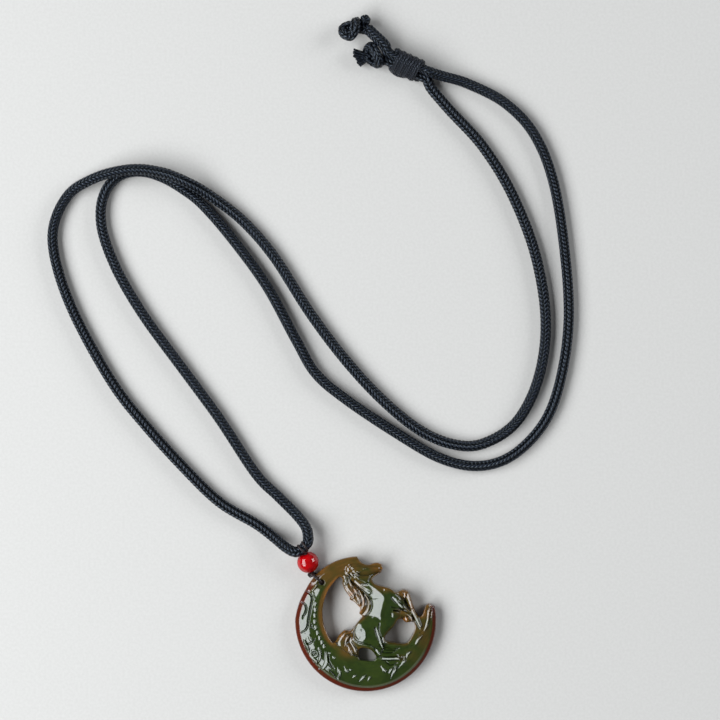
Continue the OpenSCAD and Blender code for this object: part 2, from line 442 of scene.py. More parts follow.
@dataclass(frozen=True)
class BraidedSatin(Finish):
    """Satin yarns laid in a herringbone of slanting picks, as on a braided cord, with painted glints on the
    yarns and painted shade between the picks.

    Attributes:
        name: The material's name.
        yarn: The yarns' own colour.
        glint: Their colour where the filaments shine.
        groove_shade: The painted shade between the picks, near black.
        roughness: How dull a pick's crown is.
        groove_roughness: How dull the grooves are.
        crown: The heights from which, and by which, a pick has its full colour; below them it fades to the
            painted shade of the grooves.
        slant: How far a pick leans, in pitches, across its column.
        filaments: Bundles of filaments along a pick.
        relief: How high the picks stand, mm.
        tint: The colour of the shine.
    """

    name: str = "braided_satin"
    yarn: Colour = (0.003, 0.004, 0.007, 1)
    glint: Colour = (0.036, 0.045, 0.066, 1)
    groove_shade: Colour = (0.0004, 0.0005, 0.0008, 1)
    roughness: float = 0.2
    groove_roughness: float = 0.3
    crown: tuple = (0.62, 0.98)
    slant: float = 1.0
    filaments: float = 6.0
    relief: float = 0.18
    tint: Colour = (0.75, 0.87, 1.0, 1)

    def build(self) -> bpy.types.Material:
        """Builds the material from the lay layer, which counts columns round the cord and picks along it.

        Returns:
            The material.
        """
        g = Graph(self.name)
        u, v, _ = g.split(g.attribute("lay").outputs["Vector"])
        u = g.math("ADD", u, 0.5)
        column = g.math("FLOOR", u)
        x = g.math("SUBTRACT", g.math("SUBTRACT", u, column), 0.5)
        parity = g.math("FLOORED_MODULO", column, 2.0)
        sign = g.math("SUBTRACT", 1.0, g.math("MULTIPLY", parity, 2.0))
        shift = g.math("MULTIPLY", g.math("MULTIPLY", sign, x), self.slant)
        phase = g.math("ADD", g.math("SUBTRACT", v, shift), g.math("MULTIPLY", parity, 0.5))
        q = g.math("SUBTRACT", g.math("FRACT", phase), 0.5)
        across = self.swell(g, x)
        along = self.swell(g, q)
        height = g.math("MULTIPLY", across, along)
        bundles = g.join(g.math("MULTIPLY", phase, self.filaments), g.math("MULTIPLY", x, 1.2), column)
        yarns = g.noise(bundles, 3.0)
        # The yarns' colour, with painted glints laid on by the filament noise.
        tone = g.mix(g.ramp(yarns, 0.35, 0.7), self.yarn, self.glint)
        cord = g.bump(height, self.relief * MM, 1.0)
        hairs = g.bump(yarns, 0.05 * MM, 0.6, cord)
        crown = g.ramp(height, *self.crown)
        shine = g.math("MULTIPLY", crown, self.groove_roughness - self.roughness)
        rough = g.math("SUBTRACT", self.groove_roughness, shine)
        # Painted shade: below its crown a pick fades to the near-black groove colour.
        g.set(Base_Color=g.mix(crown, self.groove_shade, tone), Roughness=rough)
        g.set(Specular_IOR_Level=0.3, Specular_Tint=self.tint, Normal=hairs)
        return g.material

    def swell(self, g: Graph, x: Socket) -> Socket:
        """Returns the round profile of a yarn, 1 at x = 0 and 0 at x = -0.5 and 0.5."""
        square = g.math("POWER", g.math("ABSOLUTE", g.math("MULTIPLY", x, 2.0)), 2.0)
        return g.math("SQRT", g.math("SUBTRACT", 1.0, square, clamp=True))


@dataclass(frozen=True)
class WaxedThread(Finish):
    """Dark waxed thread of two twisted plies.

    Attributes:
        name: The material's name.
        dark: The thread's colour under its wax.
        light: Its colour where the fibres are worn.
    """

    name: str = "waxed_thread"
    dark: Colour = (0.010, 0.006, 0.006, 1)
    light: Colour = (0.030, 0.017, 0.017, 1)

    def build(self) -> bpy.types.Material:
        """Builds the material, with fine fibres along the twist.

        Returns:
            The material.
        """
        g = Graph(self.name)
        u, v, _ = g.split(g.attribute("lay").outputs["Vector"])
        fibres = g.noise(g.join(g.math("MULTIPLY", u, 6.0), g.math("MULTIPLY", v, 2.5)), 2.0, 4.0)
        wear_and_ridge_highlight = g.noise(None, 900.0)
        g.set(Base_Color=g.mix(g.ramp(g.math("MULTIPLY", fibres, wear_and_ridge_highlight), 0.12, 0.42), self.dark, self.light))
        g.set(Roughness=0.4, Specular_IOR_Level=0.4, Normal=g.bump(fibres, 0.05 * MM, 0.8))
        return g.material


@dataclass(frozen=True)
class RedAgate(Finish):
    """Polished red agate, clear at its edge, with faint clouds and bands.

    Attributes:
        name: The material's name.
        red: The stone's colour.
        deep: The colour of its darker bands.
    """

    name: str = "red_agate"
    red: Colour = (0.50, 0.0006, 0.003, 1)
    deep: Colour = (0.28, 0.0002, 0.0015, 1)

    def build(self) -> bpy.types.Material:
        """Builds the material.

        Returns:
            The material.
        """
        g = Graph(self.name)
        _, _, z = g.split(g.node("ShaderNodeTexCoord").outputs["Object"])
        clouds = g.noise(None, 260.0, 4.0, 0.6)
        level = g.math("ADD", g.math("MULTIPLY", z, 900.0), g.math("MULTIPLY", clouds, 5.0))
        bands = g.math("SINE", level)
        shade = g.math("ADD", g.math("MULTIPLY", bands, 0.18), clouds)
        g.set(Base_Color=g.mix(g.ramp(shade, 0.3, 0.85), self.deep, self.red))
        g.set(Roughness=0.045, IOR=1.54, Specular_IOR_Level=0.5)
        g.set(Subsurface_Weight=0.35, Subsurface_Radius=(1.0, 0.06, 0.05), Subsurface_Scale=1.2 * MM)
        g.set(Transmission_Weight=0.12, Normal=g.bump(clouds, 0.01 * MM, 0.15))
        return g.material


@dataclass(frozen=True)
class PolishedJade(Finish):
    """Polished river jade: deep green in its core, olive brown where thin, red brown at its skin.

    Attributes:
        name: The material's name.
        deep: The darker clouds of the green core.
        green: The lighter clouds of the core.
        olive: The colour where the stone starts to turn brown.
        amber: The colour where it is brownest.
        skin: The red brown skin at the rim.
        pale: The painted highlight along the rolled ridge inside the rim.
        shadow: The colour in the deepest cuts.
    """

    name: str = "polished_jade"
    deep: Colour = (0.013, 0.026, 0.004, 1)
    green: Colour = (0.026, 0.042, 0.006, 1)
    olive: Colour = (0.088, 0.048, 0.009, 1)
    amber: Colour = (0.220, 0.085, 0.018, 1)
    skin: Colour = (0.075, 0.009, 0.002, 1)
    pale: Colour = (0.110, 0.110, 0.070, 1)
    shadow: Colour = (0.004, 0.008, 0.002, 1)

    def build(self) -> bpy.types.Material:
        """Builds the material from the carving's own layers: amber, skin and grain, pale, a painted highlight
        along the rolled ridge, and the painted shade in the hollows.

        Returns:
            The material.
        """
        g = Graph(self.name)
        grain = g.attribute("grain").outputs["Vector"]
        clouds = g.noise(None, 210.0, 4.0, 0.6)
        fibres = g.noise(grain, 1.0, 5.0, 0.62)
        specks = g.noise(None, 1500.0, 2.0)
        cloudy = g.math("ADD", clouds, g.math("MULTIPLY", fibres, 0.4))
        base = g.mix(g.ramp(cloudy, 0.45, 0.9), self.deep, self.green)
        warm = g.mix(g.ramp(fibres, 0.35, 0.7), self.olive, self.amber)
        amber = g.attribute("amber").outputs["Fac"]
        drift = g.math("MULTIPLY", g.math("SUBTRACT", g.math("ADD", clouds, fibres), 1.0), 0.45)
        patchy = g.math("MULTIPLY", drift, g.math("MULTIPLY", amber, 2.0, clamp=True))
        toasted = g.math("ADD", amber, patchy, clamp=True)
        olive = g.mix(g.ramp(toasted, 0.02, 0.6), base, self.olive)
        tone = g.mix(g.ramp(toasted, 0.5, 1.05), olive, warm)
        skin = g.math("MULTIPLY", g.attribute("skin").outputs["Fac"], g.ramp(fibres, 0.1, 0.5))
        tone = g.mix(skin, tone, self.skin)
        # Painted highlight: the pale line along the rolled ridge inside the rim, on its lower part.
        tone = g.mix(g.math("MULTIPLY", g.attribute("pale").outputs["Fac"], 0.5), tone, self.pale)
        tone = g.mix(g.math("MULTIPLY", g.ramp(specks, 0.62, 0.8), 0.25), tone, self.deep)
        # Painted shade in the carving's cuts and hollows.
        tone = g.mix(g.math("MULTIPLY", g.attribute("hollow_shade").outputs["Fac"], 0.75), tone, self.shadow)
        g.set(Base_Color=tone, IOR=1.62, Specular_IOR_Level=0.5)
        g.set(Roughness=g.math("ADD", 0.07, g.math("MULTIPLY", specks, 0.06)))
        g.set(Subsurface_Weight=0.22, Subsurface_Radius=(1.0, 0.75, 0.25), Subsurface_Scale=0.7 * MM)
        g.set(Normal=g.bump(g.noise(None, 700.0, 2.0), 0.012 * MM, 0.35))
        return g.material


@dataclass(frozen=True)
class PaleBoard(Finish):
    """Matt pale board with a faint tooth, for the floor.

    Attributes:
        name: The material's name.
        tone: The board's colour.
        shade: The colour in its tooth.
    """

    name: str = "pale_board"
    tone: Colour = (0.56, 0.545, 0.525, 1)
    shade: Colour = (0.53, 0.515, 0.495, 1)

    def build(self) -> bpy.types.Material:
        """Builds the material.

        Returns:
            The material.
        """
        g = Graph(self.name)
        tooth = g.noise(None, 1400.0, 4.0)
        g.set(Base_Color=g.mix(g.ramp(tooth, 0.3, 0.7), self.shade, self.tone))
        g.set(Roughness=0.9, Specular_IOR_Level=0.2, Normal=g.bump(tooth, 0.05 * MM, 0.25))
        return g.material


# ---- Tubes: the braided cord and the threads ----


@dataclass(frozen=True)
class Section:
    """The cross-section of a swept cord.

    Attributes:
        sides: Points round the section.
        columns: Columns of picks round the section, or the number of plies of a twisted thread.
        pitch: Length of one pick or of one turn of the twist, mm.
        depth: How deep the grooves are, mm.
        slant: How far a pick leans, in pitches, across its column.
        flat: Factors on the radius along the two cross directions.
        twisted: Whether it is a twisted thread and not a braid.
        step: Distance between rings, mm.
    """

    sides: int = 48
    columns: int = 6
    pitch: float = 1.12
    depth: float = 0.26
    slant: float = 1.0
    flat: tuple = (1.0, 1.0)
    twisted: bool = False
    step: float = 0.21

    def swell(self, u: Points, v: Points) -> Points:
        """Measures the cord's surface.

        Args:
            u: Columns round the cord.
            v: Pitches along it.

        Returns:
            The height, 0 in a groove to 1 on a crown.
        """
        if self.twisted:
            return np.abs(np.cos(math.pi * (u - v)))
        u = u + 0.5
        column = np.floor(u)
        x = u - column - 0.5
        odd = np.mod(column, 2)
        q = np.mod(v - (1 - 2 * odd) * x * self.slant + 0.5 * odd, 1.0) - 0.5
        across = np.sqrt(np.clip(1 - 4 * x * x, 0, 1))
        return across * np.sqrt(np.clip(1 - 4 * q * q, 0, 1))


def sweep(
    parts: MeshParts,
    path: Points,
    radii: Points | float,
    section: Section,
    up: Points = UP,
    radial: Points | None = None,
    ends: float = 0.6,
) -> None:
    """Sweeps a cord along a path and closes its ends with rounded caps.

    Args:
        parts: Where the faces go.
        path: The centre line, mm.
        radii: The radius, or one for each point of the path.
        section: The cross-section.
        up: A direction that isn't along the path's start.
        radial: The first cross direction at each point, or None for one that turns as little as possible.
        ends: How far each cap stands out, as a share of the radius.
    """
    radii = np.broadcast_to(np.asarray(radii, float), len(path))
    rows = np.column_stack([path, radii] + ([radial] if radial is not None else []))
    lengths = arc_lengths(path)
    count = max(3, int(round(lengths[-1] / section.step)) + 1)
    at = np.linspace(0, lengths[-1], count)
    rows = np.column_stack([np.interp(at, lengths, column) for column in rows.T])
    path, radii = rows[:, :3], rows[:, 3]
    if radial is None:
        tangents, first, second = frames_along(path, up)
    else:
        tangents = unit(np.gradient(path, axis=0))
        first = rows[:, 4:7] - tangents * np.sum(rows[:, 4:7] * tangents, 1, keepdims=True)
        first = unit(first)
        second = np.cross(first, tangents)
    u = np.arange(section.sides) * section.columns / section.sides
    v = at / section.pitch
    turn = 2 * math.pi * np.arange(section.sides) / section.sides
    swell = section.swell(u[None, :], v[:, None])
    reach = radii[:, None] - section.depth * (radii / radii.max())[:, None] * (1 - swell)
    x = (reach * np.cos(turn) * section.flat[0])[:, :, None] * first[:, None, :]
    y = (reach * np.sin(turn) * section.flat[1])[:, :, None] * second[:, None, :]
    rings = path[:, None, :] + x + y
    caps = []
    for end, sign in ((0, -1), (-1, 1)):
        for share in CAP_SHARES:
            shrink = math.sqrt(1 - share**2) if share < 1 else CAP_TIP
            centre = path[end] + sign * tangents[end] * radii[end] * ends * share
            caps.append(centre + (rings[end] - path[end]) * shrink)
    first_cap, last_cap = caps[: len(CAP_SHARES)], caps[len(CAP_SHARES) :]
    rings = np.concatenate([np.array(first_cap[::-1]), rings, np.array(last_cap)])
    v = np.concatenate([v[0] - np.array(CAP_LAY[::-1]), v, v[-1] + np.array(CAP_LAY)])
    n, k = len(rings), section.sides
    i, j = np.meshgrid(np.arange(n - 1), np.arange(k), indexing="ij")
    nxt = (j + 1) % k
    quads = np.stack([i * k + j, i * k + nxt, (i + 1) * k + nxt, (i + 1) * k + j], -1).reshape(-1, 4)
    step = section.columns / section.sides
    corner_u = np.stack([j * step, (j + 1) * step, (j + 1) * step, j * step], -1)
    corner_v = np.stack([v[i], v[i], v[i + 1], v[i + 1]], -1)
    uv = np.stack([corner_u, corner_v], -1).reshape(-1, 4, 2)
    parts.add(rings.reshape(-1, 3), quads[:, ::-1], uv[:, ::-1])


# ---- Neck cord ----


@dataclass
class NeckCord:
    """The braided neck cord: two legs from the hitch to the stopper knots, the knots and the cut end.

    The legs run through the sliding knot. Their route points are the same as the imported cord's.

    Attributes:
        radius: The cord's radius.
        pinch_radius: Its radius in the thread hitch.
        squeezed_radius: Its radius in the sliding knot.
        pinch_reach: Distances from the hitch at which the pinch starts to ease and has gone.
        squeeze_reach: The same, from the middle of the sliding knot along its axis.
        tunnel_radius: How far from that axis the cord is squeezed.
        loosening: How much thicker the cord is past the sliding knot, from and to the places in loosens.
        loosens: Places along Y.
        hitch: Where the thread holds the cord.
        fold_angle: Direction of the cord there, degrees from +X.
        slide: Middle of the sliding knot.
        slide_angle: Direction of its axis, degrees from +X.
        leg_offset: How far each leg lies to its side and up or down in it.
        knot_half: Half its length.
        run_out: How far the legs run on straight on the loop's side of it.
        run_in: How far they do on the ends' side.
        upper_radius: The cord's radius in the upper stopper knot.
        lower_radius: Its radius in the lower one.
        stub_start: Where the yarns of the cut end spread from.
        stub_ends: Where its two bundles end.
        stub_rings: Rings of yarns in a bundle: their place from its middle to its edge, and their number.
        stub_radius: A bundle's radius at its start.
        yarn_radii: A yarn's radius at its start and at its end.
    """

    radius: float = 1.5
    pinch_radius: float = 1.36
    squeezed_radius: float = 1.35
    hitch: tuple = (-16.95, 20.9, 5.15)
    fold_angle: float = 40.0
    slide: tuple = (11.2, 151.85, 3.35)
    slide_angle: float = -25.0
    leg_offset: float = 0.98
    knot_half: float = 4.7
    run_out: float = 1.8
    run_in: float = 1.0
    pinch_reach: tuple = (0.7, 2.4)
    squeeze_reach: tuple = (5.0, 6.6)
    tunnel_radius: float = 4.0
    loosening: float = 0.15
    loosens: tuple = (155.6, 157.0)
    upper_radius: float = 1.5
    lower_radius: float = 1.4
    stub_start: tuple = (0.7, 154.4, 2.4)
    stub_ends: tuple = ((-3.1, 155.3, 2.4), (-2.0, 152.7, 1.9))
    stub_rings: tuple = ((0.0, 1), (0.5, 5), (0.9, 8))
    stub_radius: float = 0.85
    yarn_radii: tuple = (0.42, 0.33)
    finish: Finish = BraidedSatin()
    section: Section = Section()
    knot_section: Section = Section(step=0.2)
    yarn_section: Section = Section(sides=12, columns=3, pitch=1.4, depth=0.08, twisted=True, step=0.12)

    right_leg: ClassVar[list] = [
        (-15.9, 21.9, 5.1), (-15.6, 23.4, 4.6), (-16.2, 26.2, 3.2), (-18.8, 29.6, 1.9), (-24, 34.8, 1.5),
        (-30, 40.9, 1.5), (-40, 56, 1.5), (-50, 69.6, 1.5), (-60, 83.2, 1.5), (-67, 94.8, 1.5),
        (-71.2, 105, 1.5), (-72.2, 112, 1.5), (-71, 117.5, 1.5), (-68.2, 121.2, 1.5), (-64.5, 122.9, 1.5),
        (-60, 123, 1.5), (-55, 121.4, 1.5), (-50, 118.5, 1.5), (-44.5, 114.2, 1.5), (-36.5, 105, 1.5),
        (-27, 92, 1.5), (-19, 77.3, 1.5), (-13.5, 68, 1.5), (-5, 60.8, 1.5), (8, 52.1, 1.5),
        (20, 45.2, 1.5), (30.5, 42.9, 1.5), (40, 45.8, 1.5), (48.5, 54.5, 1.5), (53, 66, 1.5),
        (55.3, 82, 1.5), (54.4, 100, 1.5), (51.3, 119.8, 1.5), (46, 133.2, 1.5), (38, 141.8, 1.5),
        (28, 147, 1.7), (21, 149, 3)]
    left_leg: ClassVar[list] = [
        (-17.9, 20, 5.1), (-19.6, 19.8, 4.7), (-22, 21.1, 3.5), (-25.5, 23.9, 2), (-30, 27.2, 1.5),
        (-40, 33.2, 1.5), (-50, 42.9, 1.5), (-60, 54, 1.5), (-68.3, 64.5, 1.5), (-77, 79.5, 1.5),
        (-82.5, 92, 1.5), (-85.2, 103, 1.5), (-84.4, 110.5, 1.5), (-80.6, 117.2, 1.6), (-75, 120.7, 2.8),
        (-69, 122.7, 4.3), (-62, 123.6, 4.75), (-55, 122.6, 4.7), (-49, 120.3, 4.2), (-43, 117, 2.6),
        (-33.8, 110, 1.5), (-25, 100, 1.5), (-15, 84.4, 1.5), (-5, 71.2, 1.5), (5, 60.5, 1.5),
        (15, 52.5, 1.5), (24, 48.8, 1.5), (32, 49, 1.5), (41, 54.8, 1.5), (47, 66.5, 1.5),
        (49.1, 82, 1.5), (46.4, 100, 1.5), (40, 116.8, 1.5), (32, 129.9, 1.5), (23, 139.8, 1.5),
        (18, 145.6, 1.9)]
    right_tail: ClassVar[list] = [(5.1, 157.4, 4.2), (3, 159.5, 3.8), (0.6, 161.8, 3.4)]
    left_tail: ClassVar[list] = [(4.9, 153.7, 2.2)]
    upper_knot: ClassVar[list] = [
        (3, 159.5, 3.8), (0.9, 161.4, 3.3), (-1.6, 162.1, 2.6), (-4.0, 162.7, 2.6), (-5.9, 161.9, 3.0),
        (-5.8, 160.6, 3.9), (-4.1, 159.9, 4.4), (-3.0, 161.4, 5.2), (-2.7, 163.2, 4.4),
        (-2.4, 163.7, 2.8), (-1.5, 163.0, 1.8), (-0.5, 163.6, 2.0), (-0.1, 164.2, 3.2),
        (-0.2, 164.2, 4.0)]
    lower_knot: ClassVar[list] = [
        (4.9, 153.7, 2.2), (3.0, 154.2, 1.9), (1.2, 154.9, 1.8), (0.6, 156.3, 2.2), (1.6, 157.0, 3.3),
        (2.7, 155.3, 4.5), (3.7, 153.1, 3.8), (3.4, 152.5, 2.2), (2.0, 153.2, 1.6), (0.4, 154.3, 2.3)]

    def direction(self) -> tuple[Points, Points]:
        """Returns the sliding knot's axis and the direction to its side."""
        a = math.radians(self.slide_angle)
        return np.array([math.cos(a), math.sin(a), 0]), np.array([-math.sin(a), math.cos(a), 0])

    def leg_point(self, side: Side, travel: float) -> Points:
        """Returns where a leg's centre is inside the sliding knot, travel mm along from its middle."""
        axis, across = self.direction()
        return np.array(self.slide) + side.value * self.leg_offset * (across + UP) + travel * axis

    def route(self, side: Side) -> Points:
        """Lists a leg's route points.

        Args:
            side: The leg.

        Returns:
            The points, from the hitch to its stopper knot.
        """
        legs, tail = self.right_leg, self.right_tail
        if side is Side.LEFT:
            legs, tail = self.left_leg, self.left_tail
        stations = (self.knot_half + self.run_out, self.knot_half, 0.0, -self.knot_half - self.run_in)
        inside = [self.leg_point(side, t) for t in stations]
        return np.vstack([self.hitch, legs, inside, tail])

    def radii(self, path: Points) -> Points:
        """Measures the cord along a path: it is slimmer in the hitch and in the sliding knot.

        Args:
            path: The leg's centre line.

        Returns:
            The radius at each point.
        """
        axis, _ = self.direction()
        pinch = 1 - smooth_step(*self.pinch_reach, np.linalg.norm(path - self.hitch, axis=1))
        offset = path - np.array(self.slide)
        beside = np.linalg.norm(offset - (offset @ axis)[:, None] * axis, axis=1)
        near = 1 - smooth_step(*self.squeeze_reach, np.abs(offset @ axis))
        inside = near * (beside < self.tunnel_radius)
        slim = self.radius - (self.radius - self.pinch_radius) * pinch
        loose = self.loosening * smooth_step(*self.loosens, path[:, 1])
        return slim + loose - (self.radius - self.squeezed_radius) * inside

    def leg(self, side: Side) -> tuple[bpy.types.Object, Points]:
        """Builds one leg.

        Args:
            side: The leg.

        Returns:
            The leg, and the points of its centre line, mm.
        """
        path = resample(spline(self.route(side), per_span=24), step=0.25)
        path[:, 2] = np.maximum(path[:, 2], self.radius)
        parts = MeshParts()
        sweep(parts, path, self.radii(path), self.section, ends=0.15)
        piece = parts.build(f"cord_leg_{side.name.lower()}")
        finish_piece(piece, self.finish, Body.CORD, ("neck_cord",))
        return piece, path

    def knot(self, name: str, points: list, radius: float, node: str) -> bpy.types.Object:
        """Builds a stopper knot as the cord wound round itself.

        Args:
            name: The piece's name.
            points: The cord's route in the knot.
            radius: The cord's radius there.
            node: The CAD node that it stands for.

        Returns:
            The knot.
        """
        parts = MeshParts()
        path = resample(spline(points, per_span=16), step=0.2)
        sweep(parts, path, radius, self.knot_section, ends=0.45)
        piece = parts.build(name)
        finish_piece(piece, self.finish, Body.CORD, (node,))
        return piece

    def cut_end(self) -> bpy.types.Object:
        """Builds the cut end of the cord, its yarns spread like a small brush.

        Returns:
            The cut end.
        """
        rng = np.random.default_rng(7)
        start = np.array(self.stub_start)
        parts = MeshParts()
        for end in self.stub_ends:
            axis = unit(end - start)
            side = unit(np.cross(axis, UP))
            lift = np.cross(side, axis)
            for share, count in self.stub_rings:
                snug = self.stub_radius * share
                for k in range(count):
                    angle = 2 * math.pi * (k + 0.3 * share) / count + rng.normal(0, 0.12)
                    out = math.cos(angle) * side + math.sin(angle) * lift
                    reach = np.linalg.norm(end - start) * (1 + rng.uniform(-0.16, 0.08))
                    flare = share * (1.15 + rng.uniform(-0.15, 0.25))
                    stations = ((0.0, snug), (0.4, snug), (0.75, (snug + flare) / 2), (1.0, flare))
                    curve = [start + axis * reach * part + out * spread for part, spread in stations]
                    line = resample(spline(curve, per_span=8), step=0.15)
                    sweep(parts, line, np.linspace(*self.yarn_radii, len(line)), self.yarn_section, ends=0.5)
        piece = parts.build("cut_cord_end")
        finish_piece(piece, self.finish, Body.CORD, ("cord_stub",))
        return piece

    def declare(self) -> None:
        """Works out the hitch's place in metres, and does nothing with it.
        """
        tuple(np.array(self.hitch) * MM)


# ---- Sliding knot ----


@dataclass
class SlidingKnot:
    """Turns of slimmer cord round both legs, which slide through it.

    Attributes:
        cord: The neck cord that it holds.
        turns: Number of turns.
        pitch: Distance from one turn to the next.
        wrap: Half the width of the pressed wrapping cord.
        thickness: Half its thickness.
        standing: How far its middle stands off the legs, in half thicknesses.
        hug: How closely the turns follow the two legs.
        tuck: The tucked end's route from the knot's middle: along its axis, to its side and up.
        tuck_radius: Radius of the tucked end.
    """

    cord: NeckCord
    turns: int = 5
    pitch: float = 1.76
    wrap: float = 0.95
    thickness: float = 0.56
    standing: float = 0.72
    hug: float = 3.2
    tuck: tuple = ((-4.2, -1.4, -1.6), (-3.4, -2.5, -2.0), (-1.5, -3.0, -2.1), (0.4, -2.6, -2.3))
    tuck_radius: float = 0.7
    finish: Finish = BraidedSatin(name="wrapping_satin", yarn=(0.016, 0.012, 0.016, 1), slant=0.8)
    tuck_section: Section = Section(sides=24, pitch=0.8, depth=0.12, slant=0.8, step=0.16)

    def build(self) -> bpy.types.Object:
        """Builds the wrapping and the tucked end along its lower side.

        Returns:
            The wrapping.
        """
        axis, across = self.cord.direction()
        stack, flat = unit(across + UP), unit(across - UP)
        middle = np.array(self.cord.slide)
        apart = self.cord.leg_offset * math.sqrt(2)
        half = (self.turns - 0.5) / 2
        turn = np.linspace(-half, half, self.turns * 64)
        angle = 2 * math.pi * turn + math.pi / 2
        out = np.cos(angle)[:, None] * stack + np.sin(angle)[:, None] * flat
        reach = self.cord.squeezed_radius + self.standing * self.thickness
        shift = (apart * np.tanh(self.hug * np.cos(angle)))[:, None] * stack
        path = middle + out * reach + shift + (turn * self.pitch)[:, None] * axis
        pressed = (self.thickness / self.wrap, 1.0)
        section = Section(sides=40, pitch=0.8, depth=0.2, slant=0.8, flat=pressed, step=0.16)
        parts = MeshParts()
        sweep(parts, path, self.wrap, section, radial=out, ends=0.4)
        tuck = [middle + axis * a + across * b + UP * c for a, b, c in self.tuck]
        sweep(parts, resample(spline(tuck, per_span=12), step=0.2), self.tuck_radius, self.tuck_section)
        piece = parts.build("sliding_knot_wrapping")
        finish_piece(piece, self.finish, Body.SLIDER, ("sliding_knot",))
        return piece


# ---- Bead and its thread ----


@dataclass
class Bead:
    """The round agate bead, drilled along the line to the hitch.

    Attributes:
        radius: The bead's radius.
        bore: Its bore's radius.
        ease: How far the bore's edges are eased.
        centre: The bead's middle.
        hitch: The point on the neck cord that the bore points to.
        segments: Points round the bead.
    """

    radius: float = 2.95
    bore: float = 0.7
    ease: float = 0.12
    centre: tuple = (-15.7, 16.8, 2.95)
    hitch: tuple = (-16.95, 20.9, 5.15)
    segments: int = 96
    finish: Finish = RedAgate()

    def axes(self) -> tuple[Points, Points, Points]:
        """Finds the bead's own directions.

        Returns:
            The bore's direction and two directions across it.
        """
        axis = unit(np.array(self.hitch) - np.array(self.centre))
        side = unit(np.cross(axis, UP))
        return axis, side, np.cross(side, axis)

    def build(self) -> bpy.types.Object:
        """Builds the bead by turning its outline, the bore's edges eased, about the bore.

        Returns:
            The bead.
        """
        axis, side, lift = self.axes()
        lip = math.asin((self.bore + self.ease) / self.radius)
        angles = np.linspace(lip, math.pi - lip, 56)
        outline = [(self.radius * math.sin(a), self.radius * math.cos(a)) for a in angles]
        top = self.radius * math.cos(lip)
        outline += [(self.bore + 0.03, -top + 0.02), (self.bore, -top + 0.15)]
        outline += [(self.bore, z) for z in np.linspace(-top + 0.5, top - 0.5, 6)]
        outline += [(self.bore, top - 0.15), (self.bore + 0.03, top - 0.02)]
        turn = 2 * math.pi * np.arange(self.segments) / self.segments
        spoke = np.cos(turn)[:, None] * side + np.sin(turn)[:, None] * lift
        rows = [np.array(self.centre) + r * spoke + z * axis for r, z in outline]
        n, k = len(rows), self.segments
        i, j = np.meshgrid(np.arange(n), np.arange(k), indexing="ij")
        after, nxt = (i + 1) % n, (j + 1) % k
        quads = np.stack([i * k + j, i * k + nxt, after * k + nxt, after * k + j], -1).reshape(-1, 4)
        parts = MeshParts()
        parts.add(np.vstack(rows), quads)
        piece = parts.build("red_bead")
        finish_piece(piece, self.finish, Body.BEAD, ("agate_bead",))
        return piece


